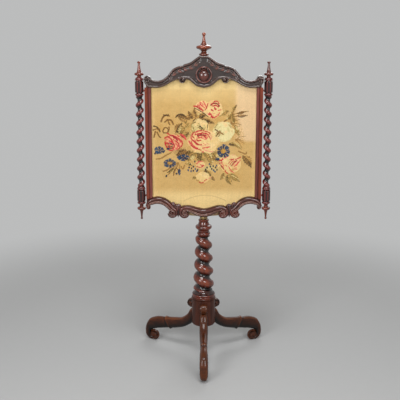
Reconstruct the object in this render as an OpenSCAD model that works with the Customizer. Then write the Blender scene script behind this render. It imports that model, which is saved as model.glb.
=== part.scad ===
// Pole screen: a carved banner with a needlework panel, hung on a pole above a twisted stem and three scroll legs.
// Millimetres. +Z is up, the front of the banner faces -Y and the feet stand on z = 0.

/* [Stand] */
// Distance from the pole's axis to the outermost point of a foot
foot_reach = 312; // [296:1:330]
// Radius of the round scroll that each foot stands on
foot_scroll_r = 31; // [28:0.5:34]
// Thickness of a leg from side to side
leg_w = 37; // [33:1:41]
// Distance from the pole's axis to the cuff at the ankle
cuff_r = 201; // [190:1:210]
// Radius of the small scroll at the head of a leg
ear_r = 18; // [16:0.5:20]
// Radius of the hub drum
hub_r = 52; // [48:1:58]
// Height of the hub's underside above the floor
hub_bottom = 141; // [135:1:148]
// Height of the hub drum
hub_h = 120; // [115:1:130]
// Depth of the dovetail that holds a leg in the hub
dovetail_d = 16; // [12:1:20]
// Thickness of the iron plate under the hub
plate_t = 2.5; // [2:0.5:4]

/* [Stem] */
// Length of the turned foot of the stem, from the hub to the twist
stem_foot_h = 30; // [26:1:36]
// Length of the twist
twist_l = 253; // [230:1:280]
// Number of turns in the twist
twist_turns = 4.25; // [3.25:0.25:5.25]
// Outer radius of the twist at its lower end
twist_low_r = 48; // [44:0.5:52]
// Outer radius of the twist at its upper end
twist_top_r = 36; // [33:0.5:40]
// Depth of the groove of the twist
twist_groove = 18; // [14:0.5:20]
// Length of the turned head of the stem, from the twist to its top
stem_head_h = 74; // [68:1:84]
// Radius of the largest ring on the stem's head
stem_ring_r = 36; // [33:0.5:40]
// Radius of the tenon under the stem
tenon_r = 18; // [14:0.5:22]
// Length of the tenon under the stem
tenon_l = 70; // [50:1:90]

/* [Pole] */
// Radius of the pole
pole_r = 11; // [9:0.5:12.5]
// Height of the pole's top above the crest's base
pole_over = 128; // [122:1:140]
// Depth of the socket in the stem that the pole stands in
socket_d = 80; // [60:1:110]
// Radius of the disc on the pole's finial
finial_disc_r = 32; // [27:0.5:36]
// Height of the pole's finial
finial_h = 94; // [86:1:102]
// Radius of the spigot under the pole's finial
spigot_r = 5; // [4:0.25:6]
// Radius of the height collar
collar_r = 17; // [15.5:0.5:19]
// Height of the height collar
collar_h = 13; // [12.5:0.5:16]
// Radius of the thumbscrew's shank
thumb_r = 3; // [2.5:0.25:3.5]
// Radius of the thumbscrew's head
thumb_head_r = 8; // [7:0.25:9]

/* [Banner] */
// Distance from the banner's middle to the outer edge of a stile
frame_half = 245; // [235:1:255]
// Width of a stile
stile_w = 27; // [24:1:31]
// Length of the part of a stile that shows
stile_l = 470; // [450:1:490]
// Height of the banner's lowest edge above the stem's top
banner_lift = 16; // [15:0.5:24]
// Thickness of the frame
frame_t = 24; // [22:0.5:28]
// Distance from the pole's axis to the frame's back
frame_gap = 24; // [22:0.5:28]
// Depth of the rebate that holds the panel
rebate_d = 12; // [10.5:0.5:14]
// Width of the rebate in a stile
rebate_w = 7; // [5:0.5:9]
// How far the carving stands in front of the frame
carving_t = 7; // [5:0.5:9]
// Height of the apron's wings above its lowest edge
apron_h = 94; // [88:1:98]
// Radius of the carved roundel on the crest
roundel_r = 35; // [31:0.5:38]

/* [Columns] */
// Gap between a stile and the column beside it
column_gap = 5; // [3.5:0.5:7]
// Radius over the corners of the eight-sided blocks
block_r = 18.5; // [16.5:0.5:20.5]
// How far the lower block of a column reaches below the foot of the stile
block_drop = 26; // [20:1:32]
// How far the upper block of a column reaches below the crest's base
block_sink = 36; // [31:1:41]
// Number of turns in the twist of a side column
side_turns = 10; // [8:1:12]
// Outer radius of the twist of a side column
side_twist_r = 17; // [15:0.5:18.5]
// Depth of the groove in the twist of a side column
side_groove = 10; // [8:0.5:11]
// Length of the block at each end of a side column
block_l = 78; // [72:1:84]
// Radius of the disc on the finial and on the pendant
side_disc_r = 19.5; // [17:0.5:21]
// Radius of the dowels between a stile and a column
dowel_r = 5; // [4:0.25:6]

/* [Panel] */
// Thickness of the needlework canvas
canvas_t = 1.4; // [1:0.1:1.8]
// Thickness of the backing cloth
cloth_t = 1.2; // [0.8:0.1:1.6]
// Thickness of the bracket plates
bracket_t = 2.5; // [2:0.25:3.5]
// Height of a bracket's ring
bracket_h = 12; // [9:0.5:14]
// Wall of a bracket's ring
bracket_wall = 5; // [4:0.25:6]
// Radius of the screws' shanks
screw_r = 1.8; // [1.5:0.1:2.2]
// Radius of the screws' heads
screw_head_r = 3.6; // [3:0.1:4.2]

/* [Clearances] */
// Radial clearance of what turns or slides on the pole
running_gap = 0.08; // [0.05:0.01:0.1]
// Clearance of glued and nailed joints
fit_gap = 0.1; // [0.05:0.01:0.15]
// Gap between faces of pieces that move past each other
face_gap = 0.3; // [0.2:0.05:0.5]

/* [Hidden] */
$fn = 64;

// Heights of the seats, from the floor up
hub_top = hub_bottom + hub_h;
hub_bead_h = 9;
stem_seat = hub_top + hub_bead_h;
twist_z = stem_seat + stem_foot_h;
head_z = twist_z + twist_l;
stem_top = head_z + stem_head_h;
collar_z = stem_top + face_gap;
ring_z = collar_z + collar_h + face_gap;
rail_low = stem_top + banner_lift;
stile_low = rail_low + 85;
crest_base = stile_low + stile_l;
pole_top = crest_base + pole_over;
upper_ring_z = crest_base + 34;
upper_block_z = crest_base - block_sink;
lower_block_z = stile_low - block_drop;
column_low = lower_block_z + block_l;
side_twist_l = upper_block_z - column_low;
// Length over which the groove of a twist runs out at each end
twist_fade = 10;

// Depth planes of the banner, from the pole's axis
frame_back = -frame_gap;
rebate_front = frame_back - rebate_d;
frame_front = frame_back - frame_t;
carving_front = frame_front - carving_t;
column_y = frame_back - frame_t / 2 + 2;
block_apothem = block_r * cos(22.5);
column_x = frame_half + column_gap + block_apothem;
inner_half = frame_half - stile_w;
panel_half = inner_half + rebate_w - fit_gap;

// Leg values: the scroll's centre sits a little low so that the floor cuts a flat pad on it
pad_cut = 0.6;
eye = [foot_reach - foot_scroll_r - 4, foot_scroll_r - pad_cut];
foot_swell = 40;
foot_under = 32;
foot_disc_w = leg_w - 2;
foot_disc_b = 2.5;
leg_angles = [-90, 150, 30];
ear_centre = [hub_r + 2, hub_bottom + 88];
ear_w = leg_w - 10;
dovetail_h = 94;
dovetail_half = 6.5;
leg_sides = 12;
plate_screw_x = hub_r - dovetail_d / 2;

// Points on a smooth curve through the points P, with n steps between each two
function pick(P, i) = P[max(0, min(len(P) - 1, i))];
function between(a, b, c, d, t) =
    0.5 * (2 * b + (c - a) * t + (2 * a - 5 * b + 4 * c - d) * t * t + (3 * b - a - 3 * c + d) * t * t * t);
function curve(P, n) = concat(
    [for (i = [0:len(P) - 2], k = [0:n - 1]) between(pick(P, i - 1), P[i], P[i + 1], pick(P, i + 2), k / n)],
    [P[len(P) - 1]]);
function backwards(P) = [for (i = [len(P) - 1:-1:0]) P[i]];
function both_sides(P) = concat([for (i = [len(P) - 1:-1:1]) [-P[i].x, P[i].y]], P);
function lifted(P, z) = [for (p = P) [p.x, p.y + z]];
function power(c, e) = sign(c) * pow(abs(c), e);
function ease(t) = let (u = max(0, min(1, t))) u * u * (3 - 2 * u);

// Points of a half-round bead of height h that stands out to radius r by b, from z upwards
function bead(r, z, h, b) = [for (a = [-90:30:90]) [r - b + b * cos(a), z + h / 2 + h / 2 * sin(a)]];

// A solid skinned over rings of points that all have the same count, slant turns the quads' diagonals
module skin(rings, slant = false) {
    n = len(rings[0]);
    m = len(rings);
    sides = [for (i = [0:m - 2], j = [0:n - 1]) let (a = i * n + j, b = i * n + (j + 1) % n)
        each slant ? [[a, a + n, b], [b, a + n, b + n]] : [[a, a + n, b + n], [a, b + n, b]]];
    caps = [[for (j = [0:n - 1]) j], [for (j = [n - 1:-1:0]) (m - 1) * n + j]];
    polyhedron([for (r = rings) each r], concat(caps, sides), convexity = 8);
}

// A turned solid from its profile of radius and height
module turned(P) {
    rotate_extrude() polygon(concat([[0, P[0].y]], P, [[0, P[len(P) - 1].y]]));
}

// A twist that tapers from low_r to top_r, hand is 1 for a right-handed and -1 for a left-handed
// screw, start is the angle of its ridge at the lower end
module twist(l, turns, low_r, top_r, groove, sides, hand, start) {
    count = round(turns * sides);
    fade = twist_fade / l;
    rings = [for (i = [0:count]) let (
        s = i / count,
        outer = low_r + (top_r - low_r) * s,
        depth = groove * ease(s / fade) * ease((1 - s) / fade),
        rest = groove - depth)
        [for (j = [0:sides - 1]) let (
            a = 360 * j / sides,
            swell = (1 + cos(a - start - hand * 360 * turns * s)) / 2,
            r = outer - 0.35 * rest - depth * (1 - swell))
            [r * cos(a), r * sin(a), l * s]]];
    skin(rings, hand < 0);
}

// Everything below stands on the pole's axis, which is moved so that the part's box is centred on the origin
module placed() {
    translate([0, pole_y, 0]) children();
}

// Pieces of the stand
// Upper and lower line of a leg in its own plane: distance from the axis, height
sleeve_top = [
    [hub_r - 8, hub_bottom + 80], [hub_r + 13, hub_bottom + 65], [hub_r + 29, hub_bottom + 30],
    [hub_r + 62, hub_bottom + 3], [hub_r + 100, hub_bottom - 6], [cuff_r - 18, hub_bottom - 9],
    [cuff_r, hub_bottom - 7]];
sleeve_low = [
    [hub_r - 8, hub_bottom + 2], [hub_r + 2, hub_bottom - 6], [hub_r + 20, hub_bottom - 23],
    [hub_r + 53, hub_bottom - 42], [hub_r + 92, hub_bottom - 55], [cuff_r - 32, hub_bottom - 63],
    [cuff_r - 17, hub_bottom - 69]];
foot_top = concat(
    [[cuff_r + 4, hub_bottom - 20], [cuff_r + 28, hub_bottom - 23]],
    [for (a = [84:-24:-84]) eye + [cos(a), sin(a)]
        * (foot_scroll_r - 1 + 5 * ease((a + 90) / 90) + foot_swell * pow(max(0, a) / 90, 1.5))]);
foot_low = concat(
    [[cuff_r - 10, hub_bottom - 61], [cuff_r + 18, hub_bottom - 68]],
    [for (a = [84:-24:-84]) eye + (4 + foot_under * pow(max(0, a) / 90, 2)) * [cos(a), sin(a)]]);
top_line = concat(curve(sleeve_top, 2), curve(foot_top, 2));
low_line = concat(curve(sleeve_low, 2), curve(foot_low, 2));
sleeve_count = 2 * (len(sleeve_top) - 1) + 1;
leg_rings = [for (i = [0:len(top_line) - 1]) let (
    middle = (top_line[i] + low_line[i]) / 2,
    half = (top_line[i] - low_line[i]) / 2,
    w = i < sleeve_count ? leg_w + 3 * ease((i - sleeve_count + 4) / 3) : leg_w - 1)
    [for (k = [0:leg_sides - 1]) let (
        a = 360 * (k + 0.5) / leg_sides,
        grow = pow(cos(180 / leg_sides), -0.7),
        p = middle + half * power(sin(a), 0.7) * grow)
        [p.x, w / 2 * power(cos(a), 0.7) * grow, p.y]]];

// Reach of a leg's points towards a direction at angle a from the leg, which centres the part
function reach(a) = max((eye.x + foot_scroll_r - foot_disc_b) * cos(a) + foot_disc_w / 2 * sin(a),
    max([for (r = leg_rings) for (p = r) p.x * cos(a) + p.y * sin(a)]));
pole_y = (reach(0) - reach(60)) / 2;

// A barrel-shaped disc that lies across the leg, w wide, with its rim rounded by b
module scroll_disc(r, w, b) {
    rotate([90, 0, 0])
        turned([for (s = [-1:0.25:1]) [r - b * s * s, s * w / 2]]);
}

module dovetail(gap) {
    inner = hub_r - dovetail_d - gap;
    linear_extrude(dovetail_h + 2 * gap)
        polygon([[inner, -dovetail_half - 2.5 - gap], [hub_r + 3, -dovetail_half - gap],
            [hub_r + 3, dovetail_half + gap], [inner, dovetail_half + 2.5 + gap]]);
}

// The hub's own space, which the leg's head is hollowed to fit
module hub_space() {
    rotate(180) translate([0, 0, hub_bottom - 30]) cylinder(r = hub_r + fit_gap, h = hub_h + 60);
}

module leg(angle) {
    rotate(angle) {
        difference() {
            skin(leg_rings);
            hub_space();
        }
        difference() {
            translate([ear_centre.x, 0, ear_centre.y]) scroll_disc(ear_r, ear_w, 4);
            hub_space();
        }
        difference() {
            translate([eye.x, 0, eye.y]) scroll_disc(foot_scroll_r, foot_disc_w, foot_disc_b);
            translate([0, -leg_w, -20]) cube([foot_reach + 20, 2 * leg_w, 20]);
        }
        translate([eye.x, 0, eye.y]) scroll_disc(foot_scroll_r / 3, leg_w + 3, 2);
        difference() {
            translate([0, 0, hub_bottom]) dovetail(0);
            translate([plate_screw_x, 0, hub_bottom - 1]) cylinder(r = screw_r + fit_gap, h = 14 + 1, $fn = 24);
        }
    }
}

module front_leg() { color("saddlebrown") placed() leg(leg_angles[0]); }
module left_leg() { color("saddlebrown") placed() leg(leg_angles[1]); }
module right_leg() { color("saddlebrown") placed() leg(leg_angles[2]); }

module hub() {
    round_r = 6;
    edge = [for (a = [-90:15:0]) [hub_r - round_r + round_r * cos(a), hub_bottom + round_r + round_r * sin(a)]];
    color("saddlebrown") placed() difference() {
        turned(concat(edge, [[hub_r, hub_top - 1]], bead(hub_r + 1, hub_top, hub_bead_h, 4)));
        translate([0, 0, stem_seat - tenon_l - 1]) cylinder(r = tenon_r + fit_gap, h = tenon_l + 2);
        for (a = leg_angles)
            rotate(a) translate([0, 0, hub_bottom - fit_gap]) dovetail(fit_gap);
    }
}

module stem() {
    foot = concat(
        [[hub_r - 4, stem_seat], [hub_r - 5, stem_seat + 5]],
        bead(hub_r - 1, stem_seat + 6, 12, 6),
        curve([[hub_r - 4, stem_seat + 19], [twist_low_r - 8, stem_seat + 25], [twist_low_r - 13, twist_z + 2]], 4));
    head = concat(
        [[twist_top_r - 8, head_z - 2]],
        bead(stem_ring_r - 7, head_z + 3, 13, 6),
        curve([[stem_ring_r - 12, head_z + 18], [stem_ring_r - 11, head_z + 24], [stem_ring_r - 7, head_z + 29]], 3),
        bead(stem_ring_r, head_z + 30, 17, 8),
        curve([[stem_ring_r - 11, head_z + 48], [stem_ring_r - 13, head_z + 56],
            [stem_ring_r - 16, stem_top - 11]], 3),
        bead(stem_ring_r - 13, stem_top - 10, 10, 4));
    color("sienna") placed() difference() {
        union() {
            translate([0, 0, stem_seat - tenon_l]) cylinder(r = tenon_r, h = tenon_l + 1);
            turned(foot);
            translate([0, 0, twist_z])
                twist(twist_l, twist_turns, twist_low_r, twist_top_r, twist_groove, 16, -1, 180);
            turned(head);
        }
        translate([0, 0, stem_top - socket_d]) cylinder(r = pole_r + fit_gap, h = socket_d + 1);
    }
}

module hub_plate() {
    arm_w = 16;
    color("dimgray") placed() difference() {
        translate([0, 0, hub_bottom - plate_t]) union() {
            cylinder(r = tenon_r, h = plate_t);
            for (a = leg_angles)
                rotate(a) translate([tenon_r / 2, -arm_w / 2, 0]) cube([hub_r - 6 - tenon_r / 2, arm_w, plate_t]);
        }
        plate_screw_places() translate([0, 0, -plate_t - 1])
            cylinder(r = screw_r + fit_gap, h = plate_t + 2, $fn = 24);
    }
}

module plate_screw_places() {
    for (a = leg_angles)
        rotate(a) translate([plate_screw_x, 0, hub_bottom]) children();
}

// A screw whose head lies under z = 0 and whose shank rises from it
module screw(l, head_h) {
    cylinder(r = screw_r, h = l, $fn = 24);
    translate([0, 0, -head_h])
        cylinder(r1 = screw_head_r * 0.7, r2 = screw_head_r, h = head_h, $fn = 24);
}

module hub_plate_screws() {
    color("gray") placed() plate_screw_places() translate([0, 0, -plate_t]) screw(plate_t + 12, 1.8);
}

module pole() {
    color("saddlebrown") placed() difference() {
        translate([0, 0, stem_top - socket_d]) cylinder(r = pole_r, h = pole_top - stem_top + socket_d);
        translate([0, 0, pole_top - spigot_l - 2]) cylinder(r = spigot_r + fit_gap, h = spigot_l + 3);
    }
}

module pole_finial() {
    d = finial_disc_r;
    h = finial_h;
    knob_r = 0.083 * h;
    profile = concat(
        [[spigot_r, -spigot_l], [spigot_r, 0]],
        bead(0.64 * d, 0, 0.096 * h, 0.125 * d),
        curve([[0.44 * d, 0.106 * h], [0.31 * d, 0.191 * h], [0.53 * d, 0.255 * h], [0.81 * d, 0.309 * h]], 3),
        bead(d, 0.319 * h, 0.085 * h, 0.125 * d),
        curve([[0.72 * d, 0.415 * h], [0.44 * d, 0.457 * h], [0.41 * d, 0.5 * h], [0.28 * d, 0.564 * h],
            [0.2 * d, 0.681 * h], [0.14 * d, 0.83 * h]], 3),
        [for (a = [-50:20:90]) [knob_r * cos(a) + 0.01, h - knob_r + knob_r * sin(a)]]);
    color("sienna") placed() translate([0, 0, pole_top]) turned(profile);
}

spigot_l = 20;

// Height collar and its screw
module height_collar() {
    color("darkgoldenrod") placed() difference() {
        union() {
            turned(concat([[collar_r - 1, collar_z]], bead(collar_r, collar_z + 1, collar_h - 2, 2),
                [[collar_r - 1, collar_z + collar_h]]));
            translate([0, 0, thumb_z]) rotate([-90, 0, 0]) cylinder(r = thumb_r + 2.5, h = boss_y);
        }
        translate([0, 0, collar_z - 1]) cylinder(r = pole_r + running_gap, h = collar_h + 2);
        translate([0, pole_r - 2, thumb_z]) rotate([-90, 0, 0])
            cylinder(r = thumb_r + running_gap, h = boss_y);
    }
}

thumb_z = collar_z + thumb_r + 2.6;
boss_y = collar_r + 6;

module thumbscrew() {
    head_t = 3;
    neck_l = 3;
    color("darkgoldenrod") placed() translate([0, 0, thumb_z]) {
        translate([0, pole_r + face_gap, 0]) rotate([-90, 0, 0])
            cylinder(r = thumb_r, h = boss_y + face_gap - pole_r);
        translate([0, boss_y + face_gap, 0]) rotate([-90, 0, 0])
            turned([[thumb_r + 1.5, 0], [thumb_r + 1.5, 1], [thumb_r, neck_l], [thumb_r, neck_l + thumb_head_r]]);
        translate([-head_t / 2, boss_y + face_gap + neck_l + thumb_head_r, 0]) rotate([0, 90, 0])
            turned([[thumb_head_r - 0.8, 0], [thumb_head_r, 0.8], [thumb_head_r, head_t - 0.8],
                [thumb_head_r - 0.8, head_t]]);
    }
}

// Pieces of the banner
// Upper edge of the crest from the peak to the scroll, in three runs, heights above the crest's base
crest_peak = [[0, 128], [18, 128], [34, 118], [56, 103], [84, 94]];
crest_hump = [[84, 90], [106, 86], [128, 75], [146, 54]];
crest_dip = [[148, 51], [158, 42], [173, 32], [190, 29], [211, 33], [frame_half - 16, 44]];
// Lower edge of the crest from the stile to the small scroll, then from there to the middle
crest_under = [[frame_half, 0], [219, 0], [186, 0], [158, 9], [134, 23], [108, 33], [98, 33]];
crest_drop = [[80, 34], [62, 31], [46, 19], [28, 6], [0, -1]];
crest_tab = [89, 33];
crest_scroll_r = 16;
crest_scroll = [frame_half - 12.5, 33];
tab_r = 15;

// Panel: top edge above the crest's base, lower edge above the rail's lowest point
panel_top = [[panel_half, 10], [186, 10], [160, 19], [134, 33], [100, 43], [72, 43], [46, 30], [28, 17], [0, 10]];
panel_foot = 78;
panel_low = [[0, 32], [95, 36], [125, 46], [150, 62], [180, panel_foot], [panel_half, panel_foot]];

module panel_shape(grow) {
    top = lifted(curve(panel_top, 3), crest_base + grow);
    low = lifted(panel_low, rail_low - grow);
    half = [for (p = concat(low, top)) [p.x > panel_half - 1 ? p.x + grow : p.x, p.y]];
    polygon(concat(half, [for (i = [len(half) - 2:-1:1]) [-half[i].x, half[i].y]]));
}

// A flat shape in the X, Z plane, thickened from the depth y0 back to y1
module upright(y0, y1) {
    translate([0, y1, 0]) rotate([90, 0, 0]) linear_extrude(y1 - y0) children();
}

module mirrored() {
    children();
    mirror([1, 0, 0]) children();
}

module crest_shape() {
    half = concat(curve(crest_peak, 3), curve(crest_hump, 3), curve(crest_dip, 3),
        [[frame_half, 26]], curve(crest_under, 3), curve(crest_drop, 3));
    outline = lifted(half, crest_base);
    polygon(concat(outline, [for (i = [len(outline) - 2:-1:1]) [-outline[i].x, outline[i].y]]));
}

// A raised moulding w wide along the edge P of a board, t proud of its front, on the side that s points to
module edging(P, w, t, s) {
    n = len(P) - 1;
    rings = [for (i = [0:n]) let (
        d = P[min(n, i + 1)] - P[max(0, i - 1)],
        side = s * [d.y, -d.x] / norm(d),
        end = i == 0 || i == n ? 0.55 : 1)
        [for (u = [[0.02, 1], [0.08, -0.6], [0.5, -1], [0.92, -0.6], [0.98, 1]]) let (
            p = P[i] + side * w * (0.5 + (u[0] - 0.5) * end))
            [p.x, frame_front + (u[1] < 0 ? u[1] * t * end : 2), p.y]]];
    skin(s > 0 ? rings : [for (r = rings) backwards(r)]);
}

// A carved volute: a disc with a raised rim and eye, from the depth y0 forwards
module volute(r, y0, t) {
    rotate([90, 0, 0]) translate([0, 0, -y0])
        turned(concat([[r, 0], [r, t * 0.75], [r * 0.85, t], [r * 0.7, t * 0.75]],
            [[r * 0.42, t * 0.7], [r * 0.34, t], [r * 0.15, t * 1.1]]));
}

module crest_rail() {
    color("saddlebrown") placed() difference() {
        union() {
            upright(frame_front, rebate_front) crest_shape();
            upright(rebate_front, frame_back) difference() {
                crest_shape();
                panel_shape(fit_gap);
            }
            mirrored() {
                edging(lifted(curve(crest_peak, 3), crest_base), 15, carving_t, 1);
                edging(lifted(curve(crest_hump, 3), crest_base), 15, carving_t, 1);
                edging(lifted(curve(crest_dip, 3), crest_base), 12, carving_t, 1);
                translate([crest_scroll.x, 0, crest_base + crest_scroll.y])
                    volute(crest_scroll_r, frame_back, frame_t + carving_t * 0.8);
                translate([crest_tab.x, 0, crest_base + crest_tab.y])
                    volute(tab_r, rebate_front, rebate_front - carving_front);
            }
            edging(lifted(both_sides(backwards(crest_drop)), crest_base), 14, carving_t, -1);
        }
        bracket_screw_places(upper_ring_z, frame_back) cylinder(r = screw_r + fit_gap, h = 12, $fn = 24);
        mirrored() stile_tenon(fit_gap);
    }
}

// A turned boss inside a raised rim
module crest_roundel() {
    r = roundel_r;
    boss_r = 0.7 * r;
    rim = [[r, 0], [r, 3], [r - 2, 6], [r - 4, 6.5], [r - 7, 4], [boss_r + 1, 2.5]];
    boss = [for (a = [0:15:90]) [boss_r * cos(a) + 0.01, 2.5 + 0.45 * boss_r * sin(a)]];
    color("saddlebrown") placed() translate([0, frame_front, crest_base + 52]) rotate([90, 0, 0])
        turned(concat(rim, boss));
}

module stile_tenon(gap) {
    side = 2;
    translate([inner_half + rebate_w + side - gap, rebate_front + side - gap, crest_base - 1])
        cube([stile_w - rebate_w - 4 * side + 2 * gap, rebate_d - 2 * side + 2 * gap, 19 + gap]);
}

// The space under the top of the apron's wing, in front of the rebate
module wing_space() {
    edge = lifted(curve([for (i = [0:4]) wing_top[i]], 2), rail_low + fit_gap);
    upright(carving_front - 1, rebate_front)
        polygon(concat(edge, [[edge[len(edge) - 1].x, rail_low], [edge[0].x, rail_low]]));
}

// One stile on the +X side: a rebated section with a flat band and a bead along the opening
stile_foot = 22;
module stile() {
    w = stile_w;
    bead_r = w * 0.24;
    difference() {
        union() {
            translate([inner_half, 0, stile_low + fit_gap]) linear_extrude(stile_l - fit_gap) difference() {
                union() {
                    translate([0, frame_front + bead_r]) square([w, frame_t - bead_r]);
                    translate([bead_r, frame_front + bead_r]) circle(bead_r);
                    translate([2 * bead_r + 1.5, frame_front + 2]) square([w - 2 * bead_r - 1.5, bead_r]);
                }
                translate([-1, rebate_front]) square([rebate_w + 1, frame_t]);
            }
            translate([inner_half, rebate_front, stile_low - stile_foot])
                cube([w, rebate_d, rail_low + panel_foot - fit_gap - stile_low + stile_foot]);
            translate([inner_half + rebate_w, rebate_front, stile_low - stile_foot])
                cube([w - rebate_w, rebate_d, 2 * stile_foot]);
            stile_tenon(0);
        }
        wing_space();
        dowel_places() dowel(fit_gap);
        tack_places() tack_shank(fit_gap);
    }
}

module right_stile() { color("sienna") placed() stile(); }
module left_stile() { color("sienna") placed() mirror([1, 0, 0]) stile(); }

// Structural rail behind the carved apron, with a shallow arc below
module bottom_rail() {
    end = inner_half - fit_gap;
    low = both_sides([[0, 6], [65, 12], [100, 19], [125, 28], [150, 44], [172, 58], [190, 64], [end, 64]]);
    top = both_sides([for (p = panel_low) [min(p.x, end), p.y]]);
    color("peru") placed() difference() {
        upright(rebate_front, frame_back)
            polygon(lifted(concat(low, lifted(backwards(top), -fit_gap)), rail_low));
        bracket_screw_places(ring_z, frame_back + cloth_t)
            cylinder(r = screw_r + fit_gap, h = 11, $fn = 24);
    }
}

// Apron: reeded bands between an upper and a lower line, which curl into volutes at their ends
// Its points are shares of the banner's half width and of the apron's height
function sized(P) = [for (p = P) [p.x * frame_half, p.y * apron_h]];
function coil(c, from, to, r0, r1) = [for (k = [0:6]) let (a = from + (to - from) * k / 6)
    c + apron_h * (r0 + (r1 - r0) * k / 6) * [cos(a), sin(a)]];
wing_eye = [0.571 * frame_half, 0.266 * apron_h];
middle_eye = [0.343 * frame_half, 0.255 * apron_h];
wing_top = concat(
    sized([[1.016, 0.574], [0.988, 0.777], [0.918, 0.936], [0.808, 1], [0.698, 0.947], [0.6, 0.798], [0.527, 0.574]]),
    coil(wing_eye, 150, 345, 0.223, 0.191));
wing_low = concat(
    sized([[0.943, 0.479], [0.935, 0.585], [0.894, 0.617], [0.812, 0.66], [0.718, 0.606], [0.649, 0.468],
        [0.604, 0.362]]),
    coil(wing_eye, 150, 345, 0.053, 0.053));
middle_top = concat(
    sized([[0, 0.436], [0.11, 0.489], [0.224, 0.574], [0.335, 0.585], [0.416, 0.489]]),
    coil(middle_eye, 15, -165, 0.287, 0.16));
middle_low = concat(
    sized([[0, 0.138], [0.11, 0.202], [0.196, 0.287], [0.269, 0.33], [0.327, 0.351]]),
    coil(middle_eye, 15, -165, 0.013, 0.013));

module reeded(top, low) {
    t = curve(top, 2);
    l = curve(low, 2);
    groove_y = frame_front + 2;
    proud = groove_y - carving_front;
    rings = [for (i = [0:len(t) - 1]) let (
        across = l[i] - t[i],
        back = [[t[i].x, rebate_front, t[i].y], [l[i].x, rebate_front, l[i].y]])
        concat([back[0]], [for (k = [0:12]) let (p = t[i] + across * (0.02 + 0.96 * k / 12))
            [p.x, groove_y - proud * abs(sin(45 * k)), p.y]], [back[1]])];
    skin(rings);
}

// A spindle-shaped leaf that leans by the angle a, with its foot at p
module leaf(p, l, r, a) {
    translate([p.x, rebate_front - 1 - r, p.y]) rotate([0, a, 0])
        turned([for (k = [0:8]) [0.01 + r * power(sin(k * 22.5), 0.7), l * k / 8]]);
}

module apron() {
    color("saddlebrown") placed() translate([0, 0, rail_low]) {
        reeded(both_sides(middle_top), both_sides(middle_low));
        mirrored() apron_side();
    }
}

module apron_side() {
    reeded(backwards(wing_top), backwards(wing_low));
    r = 0.085 * apron_h;
    translate([wing_eye.x, 0, wing_eye.y]) volute(r, rebate_front, rebate_front - carving_front - 1);
    leaf([0.473 * frame_half, 0], 0.766 * apron_h, r, 12);
    leaf([0.461 * frame_half, 0], 0.723 * apron_h, r, 0);
    leaf([0.449 * frame_half, 0], 0.66 * apron_h, r, -8);
}

// Side columns, with hand 1 for a right-handed and -1 for a left-handed twist
module block(top) {
    rotate(22.5) translate([0, 0, 15]) cylinder(r = block_r, h = block_l - 26, $fn = 8);
    turned(concat([[block_r - 6, 0], [block_r - 4, 2]], bead(block_r - 1, 3, 11, 5), [[block_r - 4, 16]]));
    translate([0, 0, block_l - 12])
        turned(concat([[block_r - 3, 0]], bead(block_r - 1, 1, 5, 2),
            [for (a = [0:22.5:90]) [top + (block_r - 2 - top) * cos(a), 6 + 6 * sin(a)]]));
}

module column(hand) {
    neck = 9;
    difference() {
        translate([column_x, column_y, 0]) difference() {
            union() {
                translate([0, 0, lower_block_z]) block(side_twist_r - side_groove);
                translate([0, 0, column_low - 0.5])
                    twist(side_twist_l + 1, side_turns, side_twist_r, side_twist_r, side_groove, 10, hand, 0);
                translate([0, 0, upper_block_z]) block(neck);
            }
            translate([0, 0, upper_block_z + block_l - 15]) cylinder(r = pin_r + fit_gap, h = 16);
            translate([0, 0, lower_block_z - 1]) cylinder(r = pin_r + fit_gap, h = 16);
        }
        dowel_places() dowel(fit_gap);
    }
}

module right_column() { color("sienna") placed() column(-1); }
module left_column() { color("sienna") placed() mirror([1, 0, 0]) column(-1); }

// Pin that joins a finial or a pendant to its block
pin_r = 4;

module top_finial() {
    z = upper_block_z + block_l;
    d = side_disc_r;
    translate([column_x, column_y, z])
        turned(concat([[pin_r, -13], [pin_r, 0], [8.5, 0], [8.5, 6]], bead(d, 7, 11, 5),
            curve([[d - 9, 19], [6.5, 25], [4, 41], [3.4, 52]], 3),
            [for (a = [-55:20:85]) [6.6 * cos(a), 58 + 6.6 * sin(a)]], [[0.01, 64.6]]));
}

module pendant() {
    d = side_disc_r - 1;
    translate([column_x, column_y, lower_block_z])
        turned(concat([[0.01, -67]], [for (a = [-70:20:50]) [5 * cos(a), -62 + 5 * sin(a)]],
            curve([[3.4, -56], [4.5, -44], [6.5, -32], [d - 9, -26]], 3),
            bead(d, -24, 12, 5), [[9, -10], [8, -4], [10, 0], [pin_r, 0], [pin_r, 13]]));
}

module right_top_finial() { color("sienna") placed() top_finial(); }
module left_top_finial() { color("sienna") placed() mirror([1, 0, 0]) top_finial(); }
module right_pendant() { color("sienna") placed() pendant(); }
module left_pendant() { color("sienna") placed() mirror([1, 0, 0]) pendant(); }

// Dowels run across from a stile into the block beside it
module dowel_places() {
    for (z = [lower_block_z + block_l / 2, upper_block_z + block_l / 2])
        translate([frame_half, column_y, min(z, crest_base - 12)]) rotate([0, 90, 0]) children();
}

module dowel(gap) {
    translate([0, 0, -14 - gap]) cylinder(r = dowel_r + gap, h = 14 + column_gap + 10 + 2 * gap, $fn = 32);
}

module column_dowels() {
    color("sienna") placed() mirrored() dowel_places() dowel(0);
}

// Panel: board, needlework and backing cloth with its tacks
module panel_board() {
    color("burlywood") placed() upright(rebate_front + canvas_t + 0.2, frame_back) panel_shape(0);
}

module needlework() {
    color("khaki") placed() upright(rebate_front + 0.2, rebate_front + 0.2 + canvas_t) panel_shape(0);
}

cloth_half = frame_half - 13;

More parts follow.
